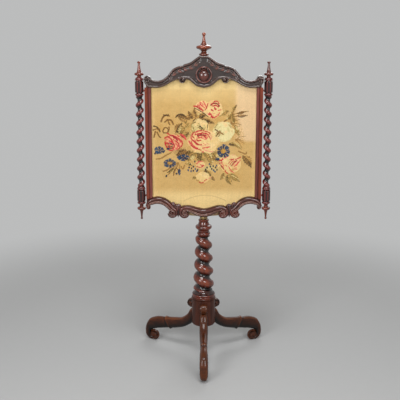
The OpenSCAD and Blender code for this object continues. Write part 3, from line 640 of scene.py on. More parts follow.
def columnShell():
    p = column
    neck = p["lowR"] - p["groove"] + 2
    z = np.linspace(p["twistLow"] - 0.5, p["twistTop"] + 0.5, 260)
    middle = np.stack([np.full(len(z), -1.0), z, 0 * z], -1)  # a radius of -1 stands for the twist
    line = np.vstack([blockProfile(p["lowBlock"], 9, neck), middle, blockProfile(p["twistTop"], neck, 8.5)])
    octant = line[:, 2:]
    a = circle(p["sides"])
    eighth = np.abs((a / (np.pi / 4) + 0.5) % 1 - 0.5)

    def swell(a, z, r):
        grown, _ = twist(p, a, z)
        flat = r * np.cos(np.pi / 8) / np.cos(np.minimum(eighth * np.pi / 4, np.pi / 8 - 0.02))
        return np.where(r < 0, grown, r + octant * (flat - r))

    _, full = twist(p, a, line[:, 1:2])
    # painted shade: the twist's grooves are dark and its crests light
    tone = np.where(line[:, :1] < 0, 0.02 + 0.95 * full, standing(line[:, 0], 4)[:, None])
    # the block's faces are darker in their middle and lighter towards their corners: rubbing on the edges
    # and painted highlight streaks
    tone = np.where(octant > 0.5, 0.14 + 0.6 * ease((eighth * 2 - 0.5) / 0.4), tone)
    return lathe(line[:, :2], p["sides"], (p["x"], p["y"]), swell, tone)


def endTurning(line, z):
    return lathe(evenLine(np.vstack(line), 0.7) + (0, z), 48, (column["x"], column["y"]))


def topFinialShell():
    d = column["discR"]
    waist = smoothLine([[d - 8, 18.5], [d - 10, 21], [8.6, 24], [6.8, 32], [5, 46], [4.4, 53]], 8)
    knob = arc(-0.96, np.pi / 2 - 0.02, 14, 7.2, 5, 0, 59.6)
    return endTurning([[[5, 0], [8.5, 0], [8.5, 6]], bead(d, 7, 11, 5), waist, knob],
                      column["twistTop"] + column["blockL"])


def pendantShell():
    d = column["discR"] - 1
    waist = smoothLine([[3.4, -56], [4.5, -44], [6.5, -32], [d - 9, -26]], 8)
    knob = arc(-np.pi / 2 + 0.02, 0.87, 14, 5, 5, 0, -62)
    return endTurning([knob, waist, bead(d, -24, 12, 5), [[9, -10], [8, -4], [10, 0], [5, 0]]],
                      column["lowBlock"])


for side in ("right", "left"):
    for form, node, part, finish in (("Column", "_column", columnShell(), columnWood),
                                     ("TopFinial", "_top_finial", topFinialShell(), polishedWood),
                                     ("Pendant", "_pendant", pendantShell(), polishedWood)):
        handed = part if side == "right" else mirrored(part)
        makePiece(side + form, [handed], finish, "banner", side + node)
print("columns turned")


# Crest: a relief over the outline, mouldings along its edges, carved husks inside the upper ones

crest = {"base": 1198, "back": -24, "rebate": -36, "front": -48, "half": 245, "proud": 7,
         "peak": [[0, 128], [18, 128], [34, 118], [56, 103], [83.6, 94]],
         "hump": [[84.4, 90], [106, 86], [128, 75], [146, 54]],
         "dip": [[147, 51], [158, 42], [173, 32], [190, 29], [211, 33], [229, 44], [245, 40]],
         "under": [[0, -1], [28, 6], [46, 19], [62, 31], [80, 34], [98, 33], [108, 33], [134, 23], [158, 9],
                   [186, 0], [219, 0], [229, 1.5], [237, 8], [245, 20]],
         "panelTop": [[0, 10], [28, 17], [46, 30], [72, 43], [100, 43], [134, 33], [160, 19], [186, 10],
                      [225, 10]],
         "scroll": (232.5, 33), "scrollR": 16, "tab": (89, 33), "tabR": 15}


def crestHeight(ax, n, *names):
    # height of the crest's smooth lines above its base, at the distance ax from the middle
    line = np.vstack([smoothLine(crest[name], n) for name in names])
    return np.interp(ax, line[:, 0], line[:, 1])


def crestShell():
    p = crest
    x = np.linspace(-p["half"], p["half"], 620)
    ax = np.abs(x)
    top = crestHeight(ax, 12, "peak", "hump", "dip")
    low = crestHeight(ax, 10, "under")
    roof = np.where(ax < 225, crestHeight(ax, 10, "panelTop"), low + 0.5)
    tall = top - low
    nearTop = np.minimum(36, 0.64 * tall)
    nearLow = np.minimum(16, 0.3 * tall)
    rows = np.concatenate([np.linspace(0, 1, 42), np.linspace(1, 2, 16)[1:], np.linspace(2, 3, 22)[1:]])
    bands = (nearTop, tall - nearTop - nearLow, nearLow)
    d = sum(np.clip(rows - k, 0, 1) * band[:, None] for k, band in enumerate(bands))
    slope = np.gradient(top, x)
    tilt, tiltLow = (1 / np.sqrt(1 + np.clip(s, -1.6, 1.6)**2)[:, None]
                     for s in (slope, np.gradient(low, x)))
    dTop = d * tilt
    dLow = (tall[:, None] - d) * tiltLow
    run = np.cumsum(np.hypot(1, slope)) * (x[1] - x[0])
    run = np.abs(run - run[len(run) // 2])[:, None]
    axc = ax[:, None]
    inner = (axc < 147) * 1.0
    wide = np.where(axc < 147, 9.5, 10)
    edge = p["proud"] * ridge(np.clip(dTop / wide, 0, 1))**0.7 * (dTop < wide)
    edge = edge * (1 - 0.55 * (np.exp(-((axc - 84) / 1.6)**2) + np.exp(-((axc - 146.5) / 1.6)**2)))
    strip = (dTop - wide - 0.6) / 20
    inStrip = ((strip > 0) & (strip < 1)) * inner * ease((axc - 10) / 10) * ease((147 - axc) / 8)
    beat = (run / 25 + 1.1 * np.abs(strip - 0.4)) % 1
    husk = (0.9 + 2.6 * beat**0.8 * (1 - ease((beat - 0.8) / 0.2))) * ridge(np.clip(strip, 0, 1))
    husk = (husk - 0.9 * np.exp(-((strip - 0.45) / 0.08)**2)) * inStrip
    plain = 2.2 * ridge(np.clip((dTop - wide) / np.maximum(tall[:, None] * tilt - wide - 9, 8), 0, 1))
    plain = plain * (1 - inner) * (dTop > wide)
    dropW = np.where(axc < 92, 14, 9)
    drop = np.where(axc < 92, 7.2, 5.0) * ridge(np.clip(dLow / dropW, 0, 1))**0.8 * (dLow < dropW)
    relief = np.maximum(np.maximum(edge, husk + plain), drop) - 0.8
    # painted shade in the hollows of the husks; husk tops and the edge and lower mouldings are lighter,
    # rubbing with a painted highlight
    tone = np.where(husk > 0.3, 0.06 + 0.37 * husk, 0.34 + 0.06 * relief)
    tone = np.where(edge > 1.5, 0.36 + 0.06 * edge, tone)
    tone = np.where(drop > 1.5, 0.38 + 0.035 * drop, tone)
    lowZ, topZ, roofZ = (p["base"] + line[:, None] for line in (low, top, roof))

    def strips(z, y, shade=0.4):
        return np.stack(np.broadcast_arrays(x[:, None], y, z, shade), -1)

    loop = np.concatenate([
        strips(topZ - 1.2, p["back"]), strips(topZ, p["back"] - 1.2), strips(topZ, -32),
        strips(topZ, p["front"] + 1), strips(topZ - d, p["front"] - relief, np.clip(tone, 0, 1)),
        strips(lowZ, p["front"] + 2), strips(lowZ, p["rebate"]), strips(roofZ, p["rebate"]),
        strips(roofZ, p["back"])], 1)
    return shell(loop[..., :3], loop[..., 3])


def volute(r, back, front, turns, hand, start):
    # a carved scroll facing forward: rows run from the back's middle over the rim to the eye
    rho = np.concatenate([[0.02, 0.6, 0.97], np.ones(4), np.linspace(0.985, 0.02, 40)])[:, None]
    a = circle(80)
    depth = back - front
    bandShape = np.abs(np.sin(np.pi * (turns * rho - hand * (a - start) / (2 * np.pi))))**0.6
    eye = np.cos(np.clip(rho / 0.3, 0, 1) * np.pi / 2)
    lift = np.maximum(0.62 + 0.38 * bandShape, 0.6 + 0.5 * eye)
    lift = lift * (1 - 0.35 * (1 - np.clip((1 - rho) * r / 2.5, 0, 1))**2)
    row = np.arange(len(rho))[:, None]
    lift = np.where(row < 7, 0.55 * np.clip((row - 3) / 4, 0, 1), lift)
    points = np.stack([r * rho * np.cos(a), back - depth * lift, r * rho * np.sin(a)], -1)
    # painted shade: the scroll's groove is darker than its band and eye
    return shell(points, np.where(row < 7, 0.5, np.clip(0.14 + 0.62 * np.maximum(bandShape, eye), 0, 1)))


def crestParts():
    p = crest
    scroll = volute(p["scrollR"], p["back"] - 0.7, p["front"] - 6, 1.4, 1, 2.6)
    scroll = placed(scroll, p["scroll"][0], p["base"] + p["scroll"][1])
    tab = volute(p["tabR"], p["rebate"], p["front"] - 7, 0.9, -1, 1.6)
    tab = placed(tab, p["tab"][0], p["base"] + p["tab"][1])
    return [crestShell(), scroll, mirrored(scroll), tab, mirrored(tab)]


makePiece("crestRail", crestParts(), carvedWood, "banner", "crest_rail", 50)


# Roundel: a rim, a hollow and an urn with a small leaf above it

roundel = {"z": 1250, "r": 35, "back": -48}


def roundelShell():
    # egg-shaped urn: (px / (21 + 3.4 t))^2 + t^2 < 1, with three leaf lobes above it and a bud below
    r = roundel["r"]
    rho = np.concatenate([np.full(3, r), np.linspace(r - 0.3, 0.3, 90)])[:, None]
    a = circle(120)
    px, pz = rho * np.cos(a), rho * np.sin(a)
    rim = 7 * ridge(np.clip((r - rho) / 8, 0, 1))**0.8 * (rho > r - 8) + 0 * a
    t = (pz + 4.5) / 22
    urn = 13 * np.sqrt(np.clip(1 - (px / (21 + 3.4 * t))**2 - t**2, 0, 1))
    bumps = [8 * np.exp(-(((px - x) / wide)**2 + ((pz - z) / tall)**2)) for x, z, wide, tall in
             ((-9, 18, 3.6, 4.2), (0, 21.5, 3.6, 4.2), (9, 18, 3.6, 4.2), (0, -25, 3.4, 2.4))]
    lift = np.maximum.reduce([rim, urn, *bumps, 0.6 + 0 * px])
    row = np.arange(len(rho))[:, None]
    y = roundel["back"] - np.where(row < 3, 1.5 * row - 0.3, lift)
    # painted shade in the hollow round the urn; the rim is lighter, with a painted highlight
    tone = np.where(urn >= lift - 0.01, 0.35 + 0.02 * urn, 0.04 + 0.1 * lift)
    return shell(np.stack([px, y, pz + roundel["z"]], -1), np.clip(tone, 0, 1))


makePiece("crestRoundel", [roundelShell()], apronWood, "banner", "crest_roundel", 60)
print("crest carved")


# Apron: reeded bands that curl into scrolls, with leaves where they meet

apron = {"base": 643, "half": 245, "tall": 94, "back": -36, "groove": -46, "proud": 9,
         "wingEye": (0.556, 0.25), "middleEye": (0.325, 0.24),
         # light in each reed paints a highlight along its crest, with painted shade in the valleys between
         # reeds
         "reeds": [(0.0, 0.07, 0.7, 0.5), (0.07, 0.56, 1.0, 0.62), (0.56, 0.72, 0.95, 1.0),
                   (0.72, 0.87, 0.85, 1.0), (0.87, 1.0, 0.5, 0.3)],  # from, to, height, light
         "wingTop": [[1.016, 0.574], [0.988, 0.777], [0.918, 0.936], [0.808, 1], [0.698, 0.947],
                     [0.6, 0.798], [0.527, 0.574]],
         "wingLow": [[0.943, 0.479], [0.935, 0.585], [0.894, 0.617], [0.812, 0.66], [0.718, 0.606],
                     [0.649, 0.468], [0.604, 0.362]],
         "middleTop": [[0, 0.436], [0.11, 0.489], [0.224, 0.574], [0.335, 0.585], [0.416, 0.489]],
         "middleLow": [[0, 0.04], [0.11, 0.09], [0.19, 0.2], [0.262, 0.29], [0.31, 0.32]],
         "leaves": [(0.478, 24, 0.766, 13), (0.453, 24, 0.67, -3), (0.447, 1, 0.62, 2)], "end": (237, 48)}


def curled(line, eye, start, end, r0, r1):
    # a line in shares of the apron, run out into seven points on a spiral round the eye
    size = np.array([apron["half"], apron["tall"]])
    k = np.linspace(0, 1, 7)[:, None]
    a = np.radians(start + (end - start) * k)
    coil = np.array(eye) * size + apron["tall"] * (r0 + (r1 - r0) * k) * np.hstack([np.cos(a), np.sin(a)])
    return np.vstack([np.array(line) * size, coil])


def reedHeight(v):
    # round reeds of unlike width side by side over v from 0 to 1
    total, tone = np.zeros_like(v), np.zeros_like(v)
    for low, high, lift, light in apron["reeds"]:
        here = ridge(np.clip((v - low) / (high - low), 0, 1))**0.8 * ((v >= low) & (v <= high))
        total = np.maximum(total, lift * here)
        # painted light: each reed's tone is lightest on its crest and falls to dark at its edges
        tone = np.maximum(tone, light * here**1.2)
    return total, tone


def reededBand(top, low):
    # columns run from the back over the reeds to the back again
    p = apron
    top, low = smoothLine(top, 10)[:, None] + (0, p["base"]), smoothLine(low, 10)[:, None] + (0, p["base"])
    v = np.linspace(0.0, 1.0, 58)[None, :]
    lift, light = reedHeight(v)
    front = top + (low - top) * (0.015 + 0.97 * v[..., None])
    flat = np.concatenate([top, top, front, low, low], 1)
    depth = np.concatenate([[[p["back"], p["back"] - 8]], p["groove"] - p["proud"] * lift,
                            [[p["back"] - 8, p["back"]]]], 1)
    points = np.stack([flat[..., 0], depth + 0 * flat[..., 0], flat[..., 1]], -1)
    # the reeds' painted highlight and shade become the tone
    return shell(points, np.concatenate([[[0.4, 0.4]], 0.02 + 0.98 * light, [[0.4, 0.4]]], 1))


def leafShell(x, foot, length, lean):
    # a scallop behind the scrolls: half width w(u) = 12.5 sin(pi u^1.7)^0.6, grooves along it
    p = apron
    u = np.linspace(0.02, 0.99, 46)[:, None]
    a = circle(60)
    flute = 0.5 + 0.5 * np.cos(7 * a)
    radius = 12.5 * np.sin(np.pi * u**1.7)**0.6 * (1 - 0.14 * flute)
    sway = math.radians(lean)
    px, pz = radius * np.cos(a), foot + (length - foot) * u
    turnX = px * math.cos(sway) + pz * math.sin(sway)
    turnZ = -px * math.sin(sway) + pz * math.cos(sway)
    points = np.stack([x + turnX, p["back"] - 8 + 0.55 * radius * np.sin(a), p["base"] + turnZ], -1)
    # painted shade: the flutes are darker than the ribs between them
    return shell(points, np.clip(0.75 - 0.7 * flute, 0, 1))


def apronParts():
    p = apron
    size = np.array([p["half"], p["tall"]])
    wing = reededBand(curled(p["wingTop"], p["wingEye"], 150, 345, 0.29, 0.215),
                      curled(p["wingLow"], p["wingEye"], 150, 345, 0.053, 0.053))
    halves = (curled(p["middleTop"], p["middleEye"], 15, -165, 0.315, 0.2),
              curled(p["middleLow"], p["middleEye"], 15, -165, 0.02, 0.02))
    middle = reededBand(*[np.vstack([half[:0:-1] * (-1, 1), half]) for half in halves])
    scrolls = ((p["wingEye"] * size, 15, 1.8), (p["middleEye"] * size, 12, 1.6), (p["end"], 10, 1.0))
    eyes = [placed(volute(r, p["back"], p["groove"] - 8.5, turns, 1, 0.0), x, p["base"] + z)
            for (x, z), r, turns in scrolls]
    leaves = [leafShell(x * p["half"], foot, l * p["tall"], lean) for x, foot, l, lean in p["leaves"]]
    side = [wing, *eyes, *leaves]
    return [middle, *side, *[mirrored(part) for part in side]]


makePiece("carvedApron", apronParts(), apronWood, "banner", "apron", 55)
print("apron carved")


# CAD nodes that stay

kept = {
    "hub": drumWood, "pole": plainWood, "left_stile": stileWood, "right_stile": stileWood,
    "bottom_rail": pine, "panel_board": pine, "column_dowels": plainWood,
    "height_collar": brass, "thumbscrew": brass, "upper_bracket": brass, "lower_bracket": brass,
    "bracket_screws": brass, "backing_tacks": brass, "hub_plate": iron, "hub_plate_screws": iron,
}
for name, finish in kept.items():
    nodes[name].data.materials.clear()
    nodes[name].data.materials.append(finish)
print("CAD nodes dressed")


# Needlework: square stitches coloured by formula, a traditional bouquet on a tan ground

canvas = {"stitch": 1.8, "front": -35.8, "half": 224, "low": 643, "foot": 676, "top": 1241, "seed": 7,
          "slope": 40}
threads = {  # dyed wools, 0 to 255
    "ground": (206, 168, 105), "pale": (238, 208, 144), "blush": (232, 200, 160), "shade": (184, 143, 81),
    "umber": (70, 50, 26), "brown": (112, 75, 33), "bark": (142, 102, 52), "olive": (112, 92, 44),
    "moss": (158, 130, 68), "lime": (208, 190, 128), "honey": (196, 152, 84), "straw": (225, 191, 126),
    "cream": (231, 201, 142), "white": (226, 212, 155), "flesh": (228, 182, 128), "pink": (220, 142, 112),
    "rose": (208, 78, 72), "red": (188, 34, 46), "deep": (128, 26, 30), "black": (30, 32, 38),
    "navy": (17, 32, 55), "blue": (24, 65, 97), "gold": (196, 148, 62),
}
wools = {  # threads for the steps of the tone, from low to high
    "paleRose": ["flesh", "straw", "cream", "straw", "cream"],
    "dullRose": ["honey", "straw", "straw", "cream", "straw"],
    "redRose": ["bark", "honey", "pink", "flesh", "honey"],
    "whiteFlower": ["lime", "white", "white", "white", "cream"],
    "greenFlower": ["moss", "lime", "straw", "cream", "straw"],
    "redInk": ["deep", "red", "red", "red", "rose", "rose"],
    "darkInk": ["deep", "red", "red", "red", "red", "rose"],
    "pinkInk": ["red", "rose", "rose", "pink"], "limeInk": ["lime", "lime", "cream", "moss"],
    "mossInk": ["olive", "moss", "moss", "lime"], "blue": ["navy", "navy", "blue", "blue"],
    "brownLeaf": ["umber", "brown", "bark", "bark", "honey"],
    "oliveLeaf": ["umber", "olive", "moss", "moss", "honey"],
    "paleLeaf": ["olive", "bark", "honey", "moss", "lime"],
}


def workCanvas(px, pz, draw):
    # colours of all stitches, laid one over another in the order of sewing
    dyed = {name: (np.array(rgb) / 255)**2.2 for name, rgb in threads.items()}
    tint = np.zeros((*px.shape, 3)) + dyed["ground"]
    wool = np.zeros(px.shape)
    speck = draw.random(px.shape)
    streaks = np.interp(px, np.linspace(-230, 230, 190), draw.random(190))
    bands = np.interp(pz, np.linspace(640, 1250, 90), draw.random(90))
    sway = np.sin(px / 9 + 2 * np.sin(pz / 13)) * np.cos(pz / 11 + np.sin(px / 17))

    def chance(*keys):
        # an even random number for each set of whole numbers
        return np.sin(sum(k * f for k, f in zip(keys, (12.99, 78.23, 37.72))) + 4.1) * 43758.5 % 1

    def sew(where, colour, cover=0.95, thick=0.35):
        nonlocal tint, wool
        where = np.clip(where, 0, 1)
        share = (where * cover)[..., None]
        tint = tint * (1 - share) + dyed[colour] * share
        wool = np.maximum(wool, where * thick)

    def shaded(where, tone, shades, cover=0.95):
        # one wool for each step of the tone, with the odd stitch a step off
        step = np.floor(np.clip(tone + 0.2 * (speck - 0.5), 0, 0.999) * len(wools[shades]))
        for k, name in enumerate(wools[shades]):
            sew(where & (step == k), name, cover)

    def around(cx, cz, rx, rz):
        dx, dz = (px - cx) / rx, (pz - cz) / rz
        return np.hypot(dx, dz), np.arctan2(dz, dx)

    def stalk(colour, width, *points, cover=0.95):
        line = evenLine(smoothLine(np.reshape(points, (-1, 2)), 14), 2.0)
        near = np.min([(px - x)**2 + (pz - z)**2 for x, z in line], axis=0)
        sew(near < (width * (0.8 + 0.9 * speck))**2, colour, cover)

    def fan(x, z, count, length, start, end, width, colour):
        # stalks that spread from one point
        for k in range(count):
            a = math.radians(start + (end - start) * k / (count - 1))
            r = length * (0.7 + 0.3 * math.cos(2.4 * k))
            bow = x + 0.5 * r * math.cos(a + 0.2), z + 0.5 * r * math.sin(a + 0.2)
            tip = x + r * math.cos(a), z + r * math.sin(a)
            stalk(colour, width, x, z, *bow, *tip, cover=0.8)

    def leafAt(cx, cz, length, width, angle, shades):
        # u runs along the leaf, v across it: half width sin(pi u^0.8), dark rib and slanted side veins
        a = math.radians(angle)
        u = ((px - cx) * math.cos(a) + (pz - cz) * math.sin(a)) / length
        v = (-(px - cx) * math.sin(a) + (pz - cz) * math.cos(a)) / width
        v = v - 0.35 * np.sin(np.pi * np.clip(u, 0, 1)) * (1 if angle % 2 else -1)
        w = np.sin(np.pi * np.clip(u, 0, 1)**0.8) * (0.9 + 0.1 * np.cos(u * 40))
        veins = np.abs((u * length / 9 - 0.8 * np.abs(v) + 0.5) % 1 - 0.5)
        rim = np.abs(v) > 0.78 * w
        tone = 0.62 + 0.2 * np.sign(v) - 0.35 * (veins < 0.14) - 0.6 * (np.abs(v) < 0.13)
        tone = tone - 0.45 * rim * (v < 0)
        shaded((u > 0) & (u < 1) & (np.abs(v) < w) & (speck < 0.95), tone + 0.3 * sway, shades, 0.9)

    def rose(at, size, heart, rings, body, light, ink, core, dense, sectors):
        # nested ellipses from the heart H to the outline C: |u - w d| = d, u = (P - H) / R, w = (C - H) / R;
        # short curved strokes follow them where the sectors (angle, spread, near, far, share) ask for them
        ux, uz = (px - at[0] - heart[0]) / size[0], (pz - at[1] - heart[1]) / size[1]
        wx, wz = -heart[0] / size[0], -heart[1] / size[1]
        along, flat = ux * wx + uz * wz, 1 - wx**2 - wz**2
        d = (np.sqrt(along**2 + flat * (ux**2 + uz**2)) - along) / flat
        a = np.arctan2(uz - wz * d, ux - wx * d)
        inside = d < 1 + 0.04 * np.cos(6 * a + at[0]) + 0.02 * sway + 0.06 * (speck - 0.5)
        tone = 0.5 + 0.35 * np.cos(a - math.radians(light)) * d + 0.25 * sway - 0.35 * (d > 0.93)
        shaded(inside, tone, body, 0.9)
        shaded(inside & (d < 0.6 * core * dense), 0.9 * chance(np.floor(d * 9), np.floor(a * 2)), ink, 0.55)
        ringAt = d * rings + 0.3 * np.sin(3 * a + at[0]) + 0.2 * sway
        j = np.floor(ringAt)
        part = (a / (2 * np.pi) + 0.37 * j) * (3 + 2 * j)
        k = np.floor(part)
        share = dense * np.exp(-(d / core)**4)
        for angle, spread, near, far, much in sectors:
            off = np.abs((a - math.radians(angle) + np.pi) % (2 * np.pi) - np.pi)
            share = np.maximum(share, much * ((off < math.radians(spread)) & (d > near) & (d < far)))
        thin = (0.3 + 0.15 * np.exp(-(d / core)**2)) * ridge(part - k)**0.7
        stroke = (d < 1.03) & (np.abs(ringAt - j - 0.5) < thin) & (chance(j, k, at[0]) < share)
        shaded(stroke, chance(k, j, at[1]), ink)

    def cornflower(at, size, count, eye):
        # ragged wedges of blue with gaps between them round a gold eye
        d, a = around(*at, *size)
        part = (a / (2 * np.pi) + 0.03 * sway) * count
        k = np.floor(part)
        petal = (d < 0.85 + 0.25 * chance(k, at[0])) & (np.abs(part - k - 0.5) < 0.43) & (d > 0.3 * eye)
        shaded(petal, 0.25 + 0.55 * d + 0.7 * (speck - 0.5) + 0.3 * sway, "blue")
        if eye:
            sew(d < 0.36, "gold")
            sew((d < 0.36) & (speck < 0.3), "bark")

    # ground: faded margins, a paler patch at the right, fine streaks of the threads
    sew(0.7 * streaks + 0.3 * bands + 0.3 * sway, "shade", 0.4, 0)
    top = ease((pz - 1120) / 64) * (0.5 + 0.5 * np.exp(-((px - 8) / 34)**2 - ((pz - 1175) / 60)**2))
    sew(top + ease((pz - 1180) / 30) + ease((782 - pz) / 50), "pale", 0.75, 0)
    sew(ease((-196 - px) / 24) + ease((px - 202) / 18), "pale", 0.4, 0)
    sew(ease((px - 120) / 28) * ease((pz - 966) / 16), "blush", 0.6, 0)
    sew(np.exp(-((pz - 741 + 0.003 * (px - 5)**2) / 1.7)**2) * (np.abs(px - 5) < 92), "bark", 0.35, 0)
    # foliage, then the flowers from the back to the front
    for cx, cz, rx, rz, colour in bouquet["tufts"]:
        d, _ = around(cx, cz, rx, rz)
        sew(speck + 0.25 * sway < 1.15 * (1 - d), colour, 0.75)
    for work, kind in ((fan, "fans"), (stalk, "stalks"), (leafAt, "leaves"), (rose, "flowers"),
                       (stalk, "strokes"), (cornflower, "blue")):
        for values in bouquet[kind]:
            work(*values)
    for x, z in bouquet["berries"]:
        d, _ = around(x, z, 3.4, 4.6)
        sew(d < 1, ("blue", "navy", "black")[int(x) % 3])
    drift = (0.9 + 0.2 * speck + 0.1 * (streaks - 0.5))[..., None]
    return np.clip(tint * drift, 0, 1), wool


